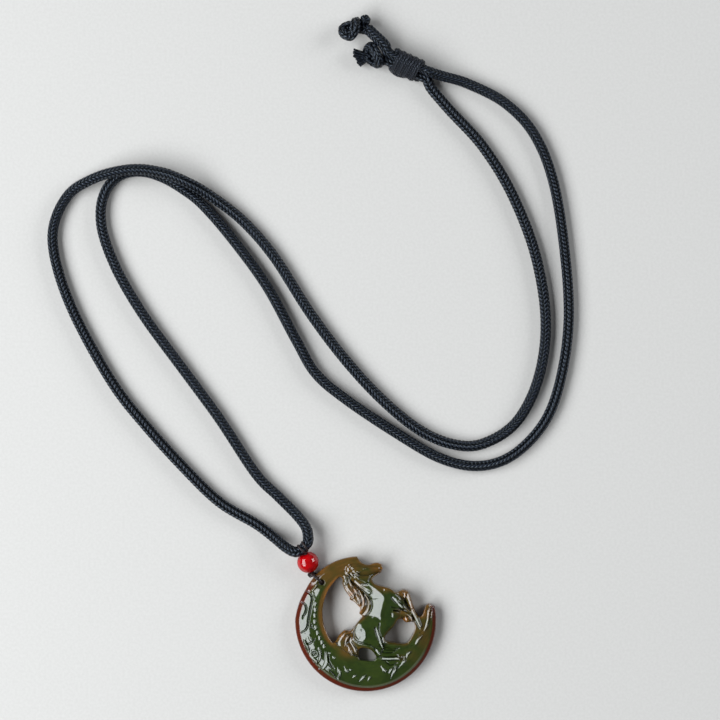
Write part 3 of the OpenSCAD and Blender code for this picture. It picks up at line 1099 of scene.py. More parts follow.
@dataclass
class Hanger:
    """The thread: a lark's head on the cord, two strands in the bead, a small knot and a loop.

    Attributes:
        bead: The bead that it runs through.
        cord: The neck cord that it hangs from.
        hole: Middle of the carving's hole.
        knot: Middle of the small knot.
        radius: The thread's radius in the loop.
        band_reach: Distance from the cord's middle to the middle of the bands.
        band_radius: The thread's radius in the bands.
        bight: The bight's route from the cord's middle: toward the bead, along the cord and across both.
        bight_radius: The thread's radius in the bight.
        strand_apart: Distance of each strand from the bore's middle.
        strand_radius: The thread's radius in the bead.
        knot_size: A third of the small knot's radius.
        knot_radius: The thread's radius in the small knot.
    """

    bead: Bead
    cord: NeckCord
    hole: tuple = (-11.9, 11.4)
    knot: tuple = (-14.75, 13.65, 1.5)
    radius: float = 0.4
    band_reach: float = 1.42
    band_radius: float = 0.27
    bight: tuple = ((1.45, -0.6, 0.3), (1.62, -0.3, 0), (1.68, 0, 0), (1.62, 0.3, 0), (1.45, 0.6, 0.3))
    bight_radius: float = 0.26
    strand_apart: float = 0.31
    strand_radius: float = 0.33
    knot_size: float = 0.31
    knot_radius: float = 0.34
    finish: Finish = WaxedThread()
    section: Section = Section(sides=20, columns=2, pitch=1.3, depth=0.1, twisted=True, step=0.08)
    band_section: Section = Section(
        sides=16, columns=2, pitch=1.1, depth=0.06, flat=(0.75, 1.1), twisted=True, step=0.08)

    # The loop's route round the hole: distance from the hole toward the small knot, and height
    loop_profile: ClassVar[list] = [
        (3.45, 1.9), (3.4, 3), (3.3, 4.1), (2.8, 4.75), (1.8, 4.85), (0.8, 4.8), (0.2, 4.4), (0, 3.6),
        (0, 2), (0.1, 1.2), (0.5, 0.65), (1.4, 0.5), (2.4, 0.55), (3.1, 0.9)]

    def piece(self, parts: MeshParts, name: str, node: str) -> bpy.types.Object:
        """Closes one piece of the thread.

        Args:
            parts: Its faces.
            name: Its name.
            node: The CAD node that it stands for.

        Returns:
            The piece.
        """
        made = parts.build(name)
        finish_piece(made, self.finish, Body.HANGER, (node,))
        return made

    def hitch(self) -> bpy.types.Object:
        """Builds the two bands round the cord and the bight across them.

        Returns:
            The hitch.
        """
        angle = math.radians(self.cord.fold_angle)
        along = np.array([math.cos(angle), math.sin(angle), 0])
        toward = unit(np.array(self.bead.centre) - np.array(self.cord.hitch))
        toward = unit(toward - along * toward.dot(along))
        other = np.cross(along, toward)
        centre = np.array(self.cord.hitch)
        parts = MeshParts()
        turn = np.linspace(0.1, 2 * math.pi - 0.1, 110)
        out = np.cos(turn)[:, None] * toward + np.sin(turn)[:, None] * other
        for sign in (-1, 1):
            slide = sign * (0.55 - 0.2 * np.cos(turn))[:, None]
            path = centre + out * self.band_reach + slide * along
            sweep(parts, path, self.band_radius, self.band_section, radial=out)
        bight = [centre + toward * a + along * b + other * c for a, b, c in self.bight]
        sweep(parts, resample(spline(bight, per_span=12), step=0.08), self.bight_radius, self.section)
        return self.piece(parts, "thread_larks_head", "thread_hitch")

    def strands(self) -> bpy.types.Object:
        """Builds the two strands that run through the bead.

        Returns:
            The strands.
        """
        axis, side, lift = self.bead.axes()
        centre = np.array(self.bead.centre)
        travel = np.linspace(-3.15, np.linalg.norm(np.array(self.bead.hitch) - centre) - 1.55, 60)
        parts = MeshParts()
        angle = 0.5 * travel
        out = np.cos(angle)[:, None] * side + np.sin(angle)[:, None] * lift
        for sign in (-1, 1):
            path = centre + travel[:, None] * axis + sign * self.strand_apart * out
            sweep(parts, path, self.strand_radius, self.section)
        return self.piece(parts, "bead_strands", "bead_thread")

    def small_knot(self) -> bpy.types.Object:
        """Builds the small knot between the bead and the carving.

        Returns:
            The knot.
        """
        t = np.linspace(0, 2 * math.pi, 160, endpoint=False)
        size = self.knot_size
        out = unit(np.array([self.hole[0] - self.knot[0], self.hole[1] - self.knot[1], 0]))
        side = np.cross(UP, out)
        x = size * (np.sin(t) + 2 * np.sin(2 * t)) * 1.15
        y = size * (np.cos(t) - 2 * np.cos(2 * t))
        z = -1.6 * size * np.sin(3 * t)
        path = np.array(self.knot) + [0, 0, 0.1] + x[:, None] * out + y[:, None] * side + z[:, None] * UP
        parts = MeshParts()
        sweep(parts, path, self.knot_radius, self.section)
        return self.piece(parts, "small_thread_knot", "thread_knot")

    def loop(self) -> bpy.types.Object:
        """Builds the thread that passes through the carving's hole, from the small knot and back to it.

        Returns:
            The loop.
        """
        out = unit(np.array([self.knot[0] - self.hole[0], self.knot[1] - self.hole[1], 0]))
        start = np.array([*self.hole, 0])
        points = [start + x * out + z * UP for x, z in self.loop_profile]
        parts = MeshParts()
        sweep(parts, resample(spline(points, per_span=12), step=0.08), self.radius, self.section)
        return self.piece(parts, "hanging_thread_loop", "hanging_loop")


# ---- Carving ----


@dataclass(frozen=True)
class Mass:
    """A rounded mass of the horse: a line with a half width and a crown height at each of its points.

    Attributes:
        line: Points of x, y, half width and crown height.
        crown: How round the section is: 2 is a dome, 1.2 is nearly a roof with straight slopes.
        drop: How much lower its edge is than its crown.
    """

    line: tuple
    crown: float = 2.0
    drop: float = 2.2


def along_line(x: Points, y: Points, line: Points) -> tuple[Points, Points]:
    """Measures a grid against a line.

    Args:
        x, y: The grid.
        line: Points of x, y and any further numbers.

    Returns:
        The distance to the line in half widths, and the further numbers there, the half width first.
    """
    best = np.full(x.shape, 1e9)
    carried = np.zeros(x.shape + (line.shape[1] - 2,))
    for a, b in zip(line[:-1], line[1:]):
        d = b[:2] - a[:2]
        t = np.clip(((x - a[0]) * d[0] + (y - a[1]) * d[1]) / max(d @ d, 1e-9), 0, 1)
        extra = a[2:] + t[..., None] * (b[2:] - a[2:])
        far = np.hypot(x - a[0] - t * d[0], y - a[1] - t * d[1]) / np.maximum(extra[..., 0], 1e-3)
        near = far < best
        best = np.where(near, far, best)
        carried[near] = extra[near]
    return best, carried


def outline_distance(x: Points, y: Points, outline: Points) -> Points:
    """Measures a grid against a closed outline.

    Args:
        x, y: The grid.
        outline: The outline's points.

    Returns:
        The distance to the outline, negative inside it.
    """
    best = np.full(x.shape, 1e9)
    inside = np.zeros(x.shape, bool)
    for a, b in zip(outline, np.roll(outline, -1, 0)):
        d = b - a
        t = np.clip(((x - a[0]) * d[0] + (y - a[1]) * d[1]) / max(d @ d, 1e-12), 0, 1)
        best = np.minimum(best, np.hypot(x - a[0] - t * d[0], y - a[1] - t * d[1]))
        if a[1] != b[1]:
            spans = (a[1] > y) != (b[1] > y)
            inside ^= spans & (x < a[0] + (y - a[1]) * d[0] / d[1])
    return np.where(inside, -best, best)


@dataclass
class JadeCarving:
    """The carving: a crescent with a polished rim and scrolls, and the horse that rears inside it.

    Attributes:
        rim_r, rim_c: Circle of the crescent's outer edge.
        arm_r, arm_c: Circle of the slimmer arm that holds the hole.
        gap_r, gap_c: Circle of the gap inside the crescent.
        shoulder_r, shoulder_c: Flatter circle from the rim to the arm.
        shoulder_top: How far up the rim goes.
        hole_r, hole_c: The hanging hole.
        face: Height of the crescent's face at its rim.
        band: Width of the polished rim on the right side.
        band_more: How much wider it is on the left side.
        rim_slope: Slope of the rim's chamfer.
        face_slope: Slope of the face, inward from the rim.
        face_rise: How much the face rises by that slope.
        arm_rise: How high the slimmer arm stands above the rim.
        roll: Height of the rolled edge inside the rim, and of the border along the gap.
        curl_c: Middle of the ring-shaped curl.
        curl_rise: How high the curl stands.
        scroll_lift: How far the scrolls stand above the face.
        engraving: Depth of the engraved lines, in half widths.
        groove_depth: Depth of the horse's grooves, in half widths.
        facet_lift: How far the facets stand above the horse.
        lock_lift: How far the locks of hair do.
        lean: Slope of the facets and locks, toward -X.
        facet_edge: Where a facet's edge ends and starts, in half widths.
        step_edge: The straight strip under the hind hoof: its ends and half width.
        step_heights: The strip's height at its left end and how much higher its right end is.
        back_edge, back_round: Height and reach of the rounding at the back's outer edge.
        cell, layer: The grid's spacing across and up.
    """

    rim_r: float = 19.2
    rim_c: tuple = (0.0, 0.8)
    arm_r: float = 16.0
    arm_c: tuple = (-1.9, 2.4)
    gap_r: float = 12.9
    gap_c: tuple = (1.2, 3.0)
    shoulder_r: float = 21.1
    shoulder_c: tuple = (1.7, -1.6)
    shoulder_top: float = 13.0
    hole_r: float = 0.75
    hole_c: tuple = (-11.9, 11.4)
    face: float = 3.75
    band: float = 1.0
    band_more: float = 0.35
    rim_slope: float = 0.72
    face_slope: float = 0.36
    face_rise: float = 0.95
    arm_rise: float = 0.85
    roll: float = 0.16
    curl_c: tuple = (-13.9, -7.9)
    curl_rise: float = 0.26
    scroll_lift: float = 0.16
    engraving: float = 1.5
    groove_depth: float = 1.15
    facet_lift: float = 0.08
    lock_lift: float = 0.18
    lean: float = 0.42
    facet_edge: tuple = (1.0, 0.76)
    step_edge: tuple = ((2.9, -9.3, .38), (9.0, -9.15, .38))
    step_heights: tuple = (4.3, 1.75)
    back_edge: float = 1.25
    back_round: float = 1.4
    cell: float = 0.13
    layer: float = 0.18
    finish: Finish = PolishedJade()

    # Head, neck, chest and raised foreleg, from the crescent's top to its tip
    front: ClassVar[list] = [
        (-2.3, 18.3), (-1.1, 16.8), (0.6, 16.2), (2.2, 16.6), (3.2, 16.75), (4.3, 16.2), (4.65, 15.2),
        (4.3, 14.1), (3.2, 13.4), (2, 12.5), (1.8, 12), (2.6, 11), (4.5, 10.4), (6.5, 9.9), (8.3, 8.9),
        (9.4, 9.25), (10.2, 9.5), (11, 9.4), (11.8, 8.6), (12.3, 7.4), (12.9, 5.4), (13.6, 3.4),
        (14.1, 2.5), (14.8, 2.1), (15.5, 2.7), (15.9, 3.8), (16.3, 4.9), (17, 5.5), (17.8, 5.4),
        (18.4, 4.9)]
    # Tail, rump, back and mane, up the horse's back
    back: ClassVar[list] = [
        (-8.5, -4.95), (-7.9, -4.2), (-7.3, -3.1), (-6, -1.75), (-5, -1.6), (-4, -1.6), (-3, -0.5),
        (-1.7, 1.2), (-0.95, 2.1), (-1.75, 2.9), (-1.4, 3.8), (-1.6, 4.5), (-2.6, 5.6), (-3.4, 6.25),
        (-4.35, 6.7), (-4.25, 7.3), (-5.2, 8.6), (-5.8, 9.6), (-6.35, 11.1), (-6.25, 12), (-6.6, 12.8)]
    # Belly, stifle and the upper side of the hind leg, then under the folded foreleg
    belly: ClassVar[list] = [
        (13.4, -0.4), (13, 0.3), (12.3, 0.6), (11.3, 0.45), (10.6, 0.65), (9.8, 1.35), (8.8, 1.3),
        (8.2, 0.4), (7.6, -0.6), (6.2, -2.1), (5.3, -3.3), (5.4, -4.3), (7, -4.85), (9.8, -5.15),
        (11, -5.1)]
    # Gap between the tail and the hind legs
    hock: ClassVar[list] = [
        (-1.8, -9.3), (-1.85, -8.3), (-1.8, -7.3), (-1.5, -6.6), (-0.6, -6.35), (0.6, -6.6), (1.5, -7),
        (2.3, -8), (2.75, -9), (2.4, -9.7)]

    horse: ClassVar[tuple] = (
        Mass(((-4.3, 15.0, 2.3, 5.2), (-2.4, 14.9, 2.6, 5.4), (0.2, 14.7, 2.2, 5.3),
             (2.2, 15.0, 1.7, 5.0), (3.3, 15.1, 1.6, 4.8))),
        Mass(((-2.6, 12.9, 2.4, 5.3), (0.8, 11.2, 3.1, 5.6), (3.6, 9.2, 3.6, 5.85), (5.2, 7.4, 4.3, 6.1),
             (4.8, 5.2, 4.3, 6.15), (4.2, 3.0, 4.2, 6.05), (4.5, 0.8, 4.4, 5.8)), 1.25, 1.9),
        Mass(((6.4, 8.3, 3.0, 6.0), (7.2, 6.0, 3.2, 6.0), (6.6, 3.2, 3.0, 5.9), (6.2, 1.4, 2.8, 5.7)),
             3.0, 1.2),
        Mass(((3.6, 0.2, 4.2, 5.7), (1.5, -2.3, 5.6, 6.0)), 3.2, 1.9),
        Mass(((1.2, -3.0, 3.6, 5.8), (3.4, -4.6, 2.2, 5.5), (3.9, -6.4, 1.7, 5.0))),
        Mass(((7.6, 7.9, 2.1, 5.6), (10.4, 8.35, 1.25, 5.3), (11.6, 8.1, 1.0, 5.2)), 2.0, 1.4),
        Mass(((11.4, 8.3, 1.05, 5.3), (12.1, 5.9, 0.95, 5.1), (12.9, 3.7, 0.85, 5.0),
             (14.2, 1.0, 0.85, 5.1), (15.0, -0.9, 0.8, 4.8)), 2.0, 1.2),
        Mass(((7.2, 6.8, 1.7, 5.6), (9.6, 5.3, 1.45, 5.3), (12.3, 2.9, 0.95, 5.0)), 1.3, 1.3),
        Mass(((6.6, 3.0, 1.5, 5.3), (9.0, 3.1, 1.25, 5.1), (11.8, 2.7, 1.0, 5.0), (12.2, 1.7, 0.9, 4.8)),
             2.0, 1.2),
        Mass(((11.2, 1.6, 1.1, 4.9), (11.6, 1.3, 1.1, 4.9)), 2.0, 1.2),
        Mass(((4.5, -4.6, 1.7, 5.2), (6.8, -5.7, 1.05, 4.9), (12.2, -5.9, 0.9, 4.7)), 2.0, 1.2),
        Mass(((3.5, -7.2, 1.2, 4.9), (4.3, -8.25, 0.9, 4.8), (8.8, -8.35, 0.85, 4.8)), 2.0, 1.2),
        Mass(((9.2, -8.7, 1.05, 4.9), (10.3, -9.3, 1.0, 4.8)), 2.0, 1.2),
        Mass(((5.0, -6.9, 1.2, 4.2), (11.5, -7.1, 1.2, 4.3)), 2.0, 0.6),
        Mass(((-3.2, -2.6, 1.4, 4.7), (-5.6, -3.2, 1.9, 4.6), (-6.3, -5.6, 2.0, 4.5),
             (-3.9, -7.4, 2.4, 4.5)), 2.0, 1.0),
        Mass(((-5.4, 12.8, 1.3, 4.6), (-4.6, 9.8, 1.9, 4.6), (-2.6, 7.6, 2.3, 4.6), (-1, 4.6, 2.0, 4.6)),
             2.0, 0.9))

    # Grooves that part the horse's forms
    grooves: ClassVar[tuple] = (
        ((-3.9, 11.8, .2), (-2.4, 10.4, .3), (-0.4, 8.9, .3), (1.1, 7.3, .3), (1.7, 5.4, .3),
         (1.2, 3.7, .3), (0.2, 2.5, .25), (-0.8, 2.0, .2)),
        ((-1.2, 11.0, .2), (0.3, 11, .28), (0.95, 11.8, .28), (1.3, 12.8, .28), (2.3, 13.7, .25),
         (4.1, 14.1, .15)),
        ((8.3, 8.3, .2), (10.4, 6.7, .3), (11.4, 5.2, .3), (12.1, 3.9, .25)),
        ((6.9, 4.9, .2), (9.0, 4.3, .3), (10.8, 3.9, .3), (12.2, 3.2, .2)),
        ((-3.5, -3.9, .2), (-2, -4.75, .3), (0, -5.2, .3), (1.5, -5.6, .3), (2.7, -6.6, .25)),
        ((3.7, 0.4, .2), (3.5, -1.6, .3), (4.1, -3.6, .3), (4.4, -4.6, .3)),
        ((4.6, -6.7, .2), (7, -7, .3), (11.4, -7.2, .25)),
        ((-2.7, -0.7, .2), (-3.2, -2, .3), (-3.2, -3.4, .3), (-2.9, -4.6, .2)),
        ((8.5, -7.8, .1), (8.8, -8.7, .22), (8.9, -9.6, .1)),
        ((3.7, 14.6, .1), (3.9, 14.9, .18), (3.7, 15.2, .1)))
    # Polished facets that lean toward -X: neck and shoulder, rump, stifle, hind foot, forelegs
    facets: ClassVar[tuple] = (
        ((-1.9, -1.6, 1.1), (-1.5, -2.5, 1.6), (-1.0, -3.2, 1.3)),
        ((-3.0, 11.9, .32), (-1.7, 10.6, .42), (-0.3, 9.6, .5), (0.9, 8.6, .5)),
        ((2.7, -1.0, .4), (3.2, -2.4, .46), (3.6, -3.6, .42), (4.2, -5.2, .34), (4.5, -6.2, .26)),
        ((4.6, -3.6, .36), (5.0, -4.9, .32)), ((2.7, -6.6, .3), (3.3, -7.6, .36), (3.9, -8.2, .26)),
        ((7.3, 7.4, .42), (8.5, 6.2, .48), (9.9, 4.8, .38)), ((10.5, 8.5, .36), (10.6, 7.6, .38)),
        ((11.3, 8.2, .3), (11.8, 6.6, .42), (12.5, 4.6, .38)),
        ((12.5, 4.0, .3), (13.6, 1.9, .42), (14.8, -0.5, .38)), ((7.2, 2.9, .45), (7.4, 2.3, .35)),
        ((7.6, 3.9, .2), (9.2, 3.6, .25), (11, 3.1, .28), (12.2, 2.0, .3), (12.5, 1.2, .3)),
        ((10.9, 1.8, .36), (11.0, 1.2, .36)), ((9.1, -8.8, .32), (9.4, -9.5, .32)),
        ((10.0, -8.5, .25), (10.2, -9.4, .32), (9.8, -10.3, .25)))
    # Ear, forelock, mane and tail
    locks: ClassVar[tuple] = (
        ((-5.9, 14.6, .26), (-5.3, 14.0, .34), (-4.7, 13.3, .24)),
        ((-4.6, 14.5, .29), (-4.0, 13.8, .37), (-3.4, 13.0, .24)),
        ((-3.5, 14.5, .24), (-2.7, 14.0, .32), (-2.1, 13.4, .24)), ((-2.3, 14.5, .20), (-1.7, 14.2, .22)),
        ((-2.9, 13.1, .24), (-2.2, 12.7, .29), (-1.7, 12.2, .20)), ((-4.5, 16.2, .29), (-4.2, 15.9, .29)),
        ((-3.7, 15.5, .27), (-3.4, 15.2, .27)), ((-6.1, 15.2, .22), (-5.8, 15.0, .22)),
        ((-5.7, 13.0, .28), (-5.5, 11.9, .34), (-5.1, 11.0, .24)),
        ((-4.6, 12.4, .24), (-4.3, 11.3, .32), (-3.7, 10.4, .24)),
        ((-5.5, 10.5, .29), (-4.7, 9.5, .42), (-3.7, 8.3, .42), (-3.3, 7.5, .30), (-4.0, 6.8, .16)),
        ((-3.5, 10.0, .24), (-2.7, 9.0, .34), (-2.4, 8.2, .24)),
        ((-2.7, 7.9, .24), (-2.0, 7.0, .36), (-1.6, 6.0, .34), (-2.0, 5.0, .16)),
        ((-2.0, 9.3, .24), (-1.1, 7.8, .36), (-0.6, 6.4, .36), (-0.8, 4.6, .24), (-1.3, 3.8, .16)),
        ((-0.6, 8.4, .20), (0.5, 7.0, .30), (0.9, 5.6, .30), (0.5, 4.0, .30), (-0.7, 2.7, .22)),
        ((-4.2, -2.2, .24), (-5.6, -2.6, .34), (-6.6, -3.7, .38), (-7.3, -5.1, .34), (-7.9, -6.3, .16)),
        ((-4.7, -3.2, .27), (-5.4, -4.4, .34), (-5.6, -6.0, .20)),
        ((-4.1, -3.6, .27), (-4.0, -5.0, .35), (-3.2, -6.4, .35), (-2.5, -7.9, .20)),
        ((-4.9, -5.6, .24), (-4.4, -6.8, .32), (-3.6, -8.3, .20)))
    eye: ClassVar[tuple] = ((-0.5, 15.2, .2), (-0.2, 15.2, .2))

    # The crescent's raised scrolls
    scrolls: ClassVar[tuple] = (
        ((-13.5, 10.6, .4), (-14.3, 9.7, .5), (-15.2, 8.9, .4)),
        ((-17.1, -3.2, .2), (-16.5, -3.7, .32), (-16.6, -4.6, .32), (-15.9, -5.9, .32),
         (-15.5, -6.8, .2)),
        ((-16.3, -2.4, .2), (-15.5, -3.0, .35), (-14.9, -4.2, .35), (-14.2, -4.6, .2)),
        ((-14.9, -6.5, .2), (-15.1, -8.3, .34), (-14.3, -9.3, .34), (-13.5, -9.9, .34),
         (-13.2, -10.8, .15)),
        ((-12.7, -6.3, .2), (-12.3, -8.2, .34), (-12.6, -9.6, .34), (-13.1, -10.6, .15)),
        ((-10.9, -7.5, .2), (-10.6, -9.2, .5), (-10.9, -10.7, .55), (-11.8, -12, .4), (-12.7, -12, .15)),
        ((-8.9, -8.7, .3), (-8.5, -9.1, .3)), ((-9.9, -7.6, .2), (-9.7, -8.0, .2)),
        ((-7.7, -11.7, .2), (-7, -13.2, .34), (-7.2, -14.6, .2)),
        ((-5.9, -11.4, .2), (-5.3, -12.4, .3), (-4.8, -13, .15)),
        ((-4.3, -12.1, .22), (-3.9, -12.4, .22)), ((-3.5, -14.4, .2), (-2.8, -13.9, .25)),
        ((-1.8, -15.4, .15), (-0.9, -14.7, .3), (0, -13.7, .15)),
        ((0.5, -15.4, .15), (0.9, -14.8, .26), (1.3, -14.2, .15)),
        ((4.1, -11.4, .24), (4.9, -12.2, .36), (5.4, -12.7, .3)),
        ((6.3, -13.1, .3), (6.7, -12.6, .34), (7.2, -11.9, .2)),
        ((8, -11.1, .15), (8.1, -12.2, .3), (7.2, -13.5, .32), (6.8, -14.7, .15)),
        ((10.5, -8.7, .2), (10.7, -9.7, .34), (9.7, -10.9, .34), (8.7, -11.9, .2)),
        ((10.9, -10, .2), (11.2, -8.4, .34), (12.1, -7.4, .2)),
        ((12.3, -6.2, .2), (13.6, -5.3, .32), (14.3, -4.2, .32), (15.2, -3.1, .2)),
        ((17.4, 4.3, .25), (17.0, 2.9, .36), (16.8, 1.2, .42), (16.3, -0.6, .4), (15.6, -1.9, .34),
         (14.8, -2.3, .2)),
        ((18.1, 4.0, .2), (17.95, 2.6, .28), (17.7, 0.9, .22)), ((17.0, 4.8, .25), (17.1, 4.8, .25)),
        ((17.8, 4.7, .2), (17.9, 4.6, .2)))
    # The scrolls' engraved lines
    engraved: ClassVar[tuple] = (
        ((-17.2, 5.9, .21), (-16.4, 5.3, .28), (-16.1, 4.3, .31), (-16.3, 3.2, .31), (-16.9, 2.3, .28),
         (-17.1, 1.4, .14)),
        ((-16.2, 9.0, .14), (-15.3, 8.4, .28), (-14.7, 7.8, .28), (-14.5, 6.6, .31), (-14.9, 4.8, .31),
         (-15.2, 3, .31), (-15.5, 1.4, .31), (-15.7, -0.3, .31), (-16.3, -1.5, .28), (-17.5, -2.3, .21)),
        ((-14.8, 0.2, .14), (-14.7, -0.8, .28), (-14.0, -1.1, .14)),
        ((-16.4, -4.3, .14), (-15.7, -5.4, .28), (-14.3, -4.6, .28), (-13.9, -3.8, .14)),
        ((-10.2, -8.3, .21), (-10, -10, .28), (-9.3, -11.2, .28), (-8.6, -11.9, .14)),
        ((-9.6, -12.6, .14), (-8.4, -13.6, .28), (-7.7, -15.2, .14)),
        ((5.2, -9.9, .14), (6.8, -11, .28), (8.6, -10.4, .14)))
    beads: ClassVar[tuple] = (
        (-14.35, 8.3), (-14.0, 7.1), (-13.7, 5.6), (-13.65, 4.0), (-13.8, 2.4), (-13.85, 0.8),
        (-13.6, -0.8), (-13.1, -2.2), (-12.5, -3.6), (-11.9, -4.8), (-11.3, -5.9))

    # Places where the stone is amber: middle, reach along X and Y, and strength
    amber_spots: ClassVar[tuple] = (
        (-5.5, 15.5, 5.5, 3.2, .62), (-10.5, 14, 4, 3.4, .55), (3.4, 15.2, 2.6, 2, .72),
        (-0.3, 13.6, 3, 2, .4), (-3.2, 8.6, 2.8, 4.4, .8), (-0.9, 5.2, 1.9, 3, .95),
        (-5.4, -3.2, 3, 1.9, .75), (-4.6, -6.6, 3, 2.8, .55), (10.9, 8.4, 1.9, 1.7, .95),
        (12.4, 5.2, 1.5, 2.6, .6), (11.4, 1.4, 1.9, 1.4, .9), (10.2, 3.4, 2.6, 1.2, .5),
        (16.8, 4, 2, 2.8, .75), (9.8, -9, 1.8, 1.2, .3), (-14.5, 10.8, 2.4, 2.2, .4),
        (4.5, 9.6, 3.5, 1.4, .35), (15.8, -2.5, 2.6, 5.0, .42), (12.8, -8.5, 3.0, 3.0, .22))

    def gap_arc(self, start: float, end: float, count: int) -> list:
        """Returns points on the gap's circle, with the angles in degrees."""
        return arc(self.gap_c, self.gap_r, start, end, count)

    def outlines(self) -> tuple[list, Points]:
        """Draws what is cut away from the crescent's disc.

        Returns:
            The three openings' outlines, and the outline of the stone cut away above the horse.
        """
        upper = self.gap_arc(130, 218, 40) + self.smooth(self.back)
        lower = self.smooth(self.belly) + self.gap_arc(-38, -19, 12)
        hock = self.smooth(self.hock) + self.gap_arc(-85, -102, 8)
        above = self.smooth(self.front) + [(24, 6), (40, 6), (40, 40), (-2.3, 40)]
        return [np.array(upper), np.array(lower), np.array(hock)], np.array(above)

    def smooth(self, points: list) -> list:
        """Returns a smooth line through points as a list."""
        return [tuple(p) for p in spline(points, 5)]

    def plan(self, x: Points, y: Points) -> tuple[Points, Points, Points]:
        """Measures the carving's outline.

        Args:
            x, y: The grid.

        Returns:
            The distance to the outline, to the crescent's outer edge and to its inner circle, negative
            inside; the hanging hole is left out.
        """
        rim = np.hypot(x - self.rim_c[0], y - self.rim_c[1]) - self.rim_r
        arm = np.hypot(x - self.arm_c[0], y - self.arm_c[1]) - self.arm_r
        shoulder = np.hypot(x - self.shoulder_c[0], y - self.shoulder_c[1]) - self.shoulder_r
        outer = np.minimum(arm, np.maximum(np.maximum(rim, shoulder), y - self.shoulder_top))
        inner = self.gap_r - np.hypot(x - self.gap_c[0], y - self.gap_c[1])
        openings, above = self.outlines()
        edge = outer
        for outline in (*openings, above):
            edge = np.maximum(edge, -outline_distance(x, y, outline))
        return edge, outer, inner

    def rim_width(self, x: Points) -> Points:
        """Returns the width of the polished rim."""
        return self.band + self.band_more * smooth_step(8, -10, x)

    def curve(self, line: tuple, per_span: int = 4) -> Points:
        """Returns a smooth curve through a line's points, or the line itself when it has two."""
        return spline(line, per_span) if len(line) > 2 else np.array(line, float)

    def stroke(self, x: Points, y: Points, line: tuple) -> Points:
        """Returns the low round section of a stroke, its half width on its line and 0 past its width."""
        far, numbers = along_line(x, y, self.curve(line))
        return numbers[..., 0] * np.clip(1 - far**2, 0, 1)

    def faceted(
        self, x: Points, y: Points, face: Points, lines: tuple, lift: float, level: bool = False
    ) -> Points:
        """Lays facets along lines on a face, flat across and leaning toward -X.

        Args:
            x, y: The grid.
            face: The height of the face.
            lines: Lines of points of x, y and half width.
            lift: How far the middle of each facet stands above the face, mm.
            level: Whether a facet keeps one height along its line and doesn't follow the face.

        Returns:
            The new face.
        """
        cell = x[1, 0] - x[0, 0]
        cut = face
        for line in lines:
            curve = spline(line, 4) if len(line) > 2 else np.linspace(line[0], line[1], 4)
            hinge = np.where(curve[:, 2] > 1, curve[:, 2], 0)
            i = ((curve[:, 0] + hinge - x[0, 0]) / cell).round().astype(int)
            j = ((curve[:, 1] - y[0, 0]) / cell).round().astype(int)
            at = arc_lengths(curve[:, :2])
            rise = np.polyval(np.polyfit(at, face[i, j], 0 if level else 2), at) - self.lean * hinge
            rise = rise + self.lean * (curve[:, 0] - curve[:, 0].mean()) * min(1.0, 1.2 / np.ptp(curve[:, 0]))
            far, near = along_line(x, y, np.column_stack([curve, curve[:, 0], rise]))
            facet = near[..., 2] + lift + self.lean * (x - near[..., 1])
            cut = cut + smooth_step(*self.facet_edge, far) * (facet - cut)
        return cut

    def strokes(self, x: Points, y: Points, lines: tuple) -> Points:
        """Lays several strokes.

        Args:
            x, y: The grid.
            lines: The strokes' lines.

        Returns:
            The highest of them at each place.
        """
        best = np.zeros(x.shape)
        for line in lines:
            best = np.maximum(best, self.stroke(x, y, line))
        return best

    def crescent_face(self, x: Points, y: Points, outer: Points, inner: Points) -> Points:
        """Shapes the crescent's face, with its rim, its rolled edge and its scrolls.

        Args:
            x, y: The grid.
            outer: The distance to the crescent's outer edge, negative inside.
            inner: The distance to its inner circle, negative inside.

        Returns:
            The face's height.
        """
        depth = -outer
        wide = self.rim_width(x)
        chamfer = self.face - self.rim_slope * (wide - depth)
        rim = -smooth_max(-np.full(x.shape, self.face), -chamfer, 0.2)
        slope = self.face_slope * np.clip(depth - wide, 0, None)
        rise = -smooth_max(-slope, np.full(x.shape, -self.face_rise), 0.3)
        rise = rise + (self.arm_rise - rise) * smooth_step(9, 11.5, y)
        bulge = np.sqrt(np.clip(1 - ((depth - wide - 0.35) / 0.32) ** 2, 0, 1))
        roll = self.roll * bulge * smooth_step(-4, -9, y)
        border = self.roll * smooth_step(0.6, 1.8, -inner) - self.roll
        beads = tuple(((bx - 0.05, by + 0.3, 0.34), (bx + 0.05, by - 0.3, 0.34)) for bx, by in self.beads)
        curl = np.hypot(x - self.curl_c[0], y - self.curl_c[1])
        ring = np.clip(1 - ((curl - 0.9) / 0.4) ** 2, 0, 1) + np.clip(1 - (curl / 0.42) ** 2, 0, 1)
        face = rim + rise + roll + border + self.curl_rise * ring
        face = self.faceted(x, y, face, self.scrolls + beads, self.scroll_lift)
        return face - self.engraving * self.strokes(x, y, self.engraved)

    def horse_face(self, x: Points, y: Points) -> Points:
        """Shapes the horse from its masses, grooves, facets and locks of hair.

        Args:
            x, y: The grid.

        Returns:
            The horse's height, and less than nothing away from it.
        """
        face = np.full(x.shape, -1.0)
        for mass in self.horse:
            far, numbers = along_line(x, y, self.curve(mass.line, 6))
            height = numbers[..., 1] - mass.drop * np.clip(far, 0, 1.6) ** mass.crown
            face = smooth_max(face, np.where(far < 1.6, height, -1.0), 0.16)
        face = face - self.groove_depth * self.strokes(x, y, self.grooves)
        face = self.faceted(x, y, face, self.facets, self.facet_lift, level=True)
        face = self.faceted(x, y, face, self.locks, self.lock_lift)
        (left, *_), (right, *_) = self.step_edge
        low, climb = self.step_heights
        far, _ = along_line(x, y, np.array(self.step_edge))
        edge = low + (x - left) / (right - left) * climb
        face = face + smooth_step(1.0, 0.8, far) * (edge - face)
        return face + 0.8 * self.stroke(x, y, self.eye)

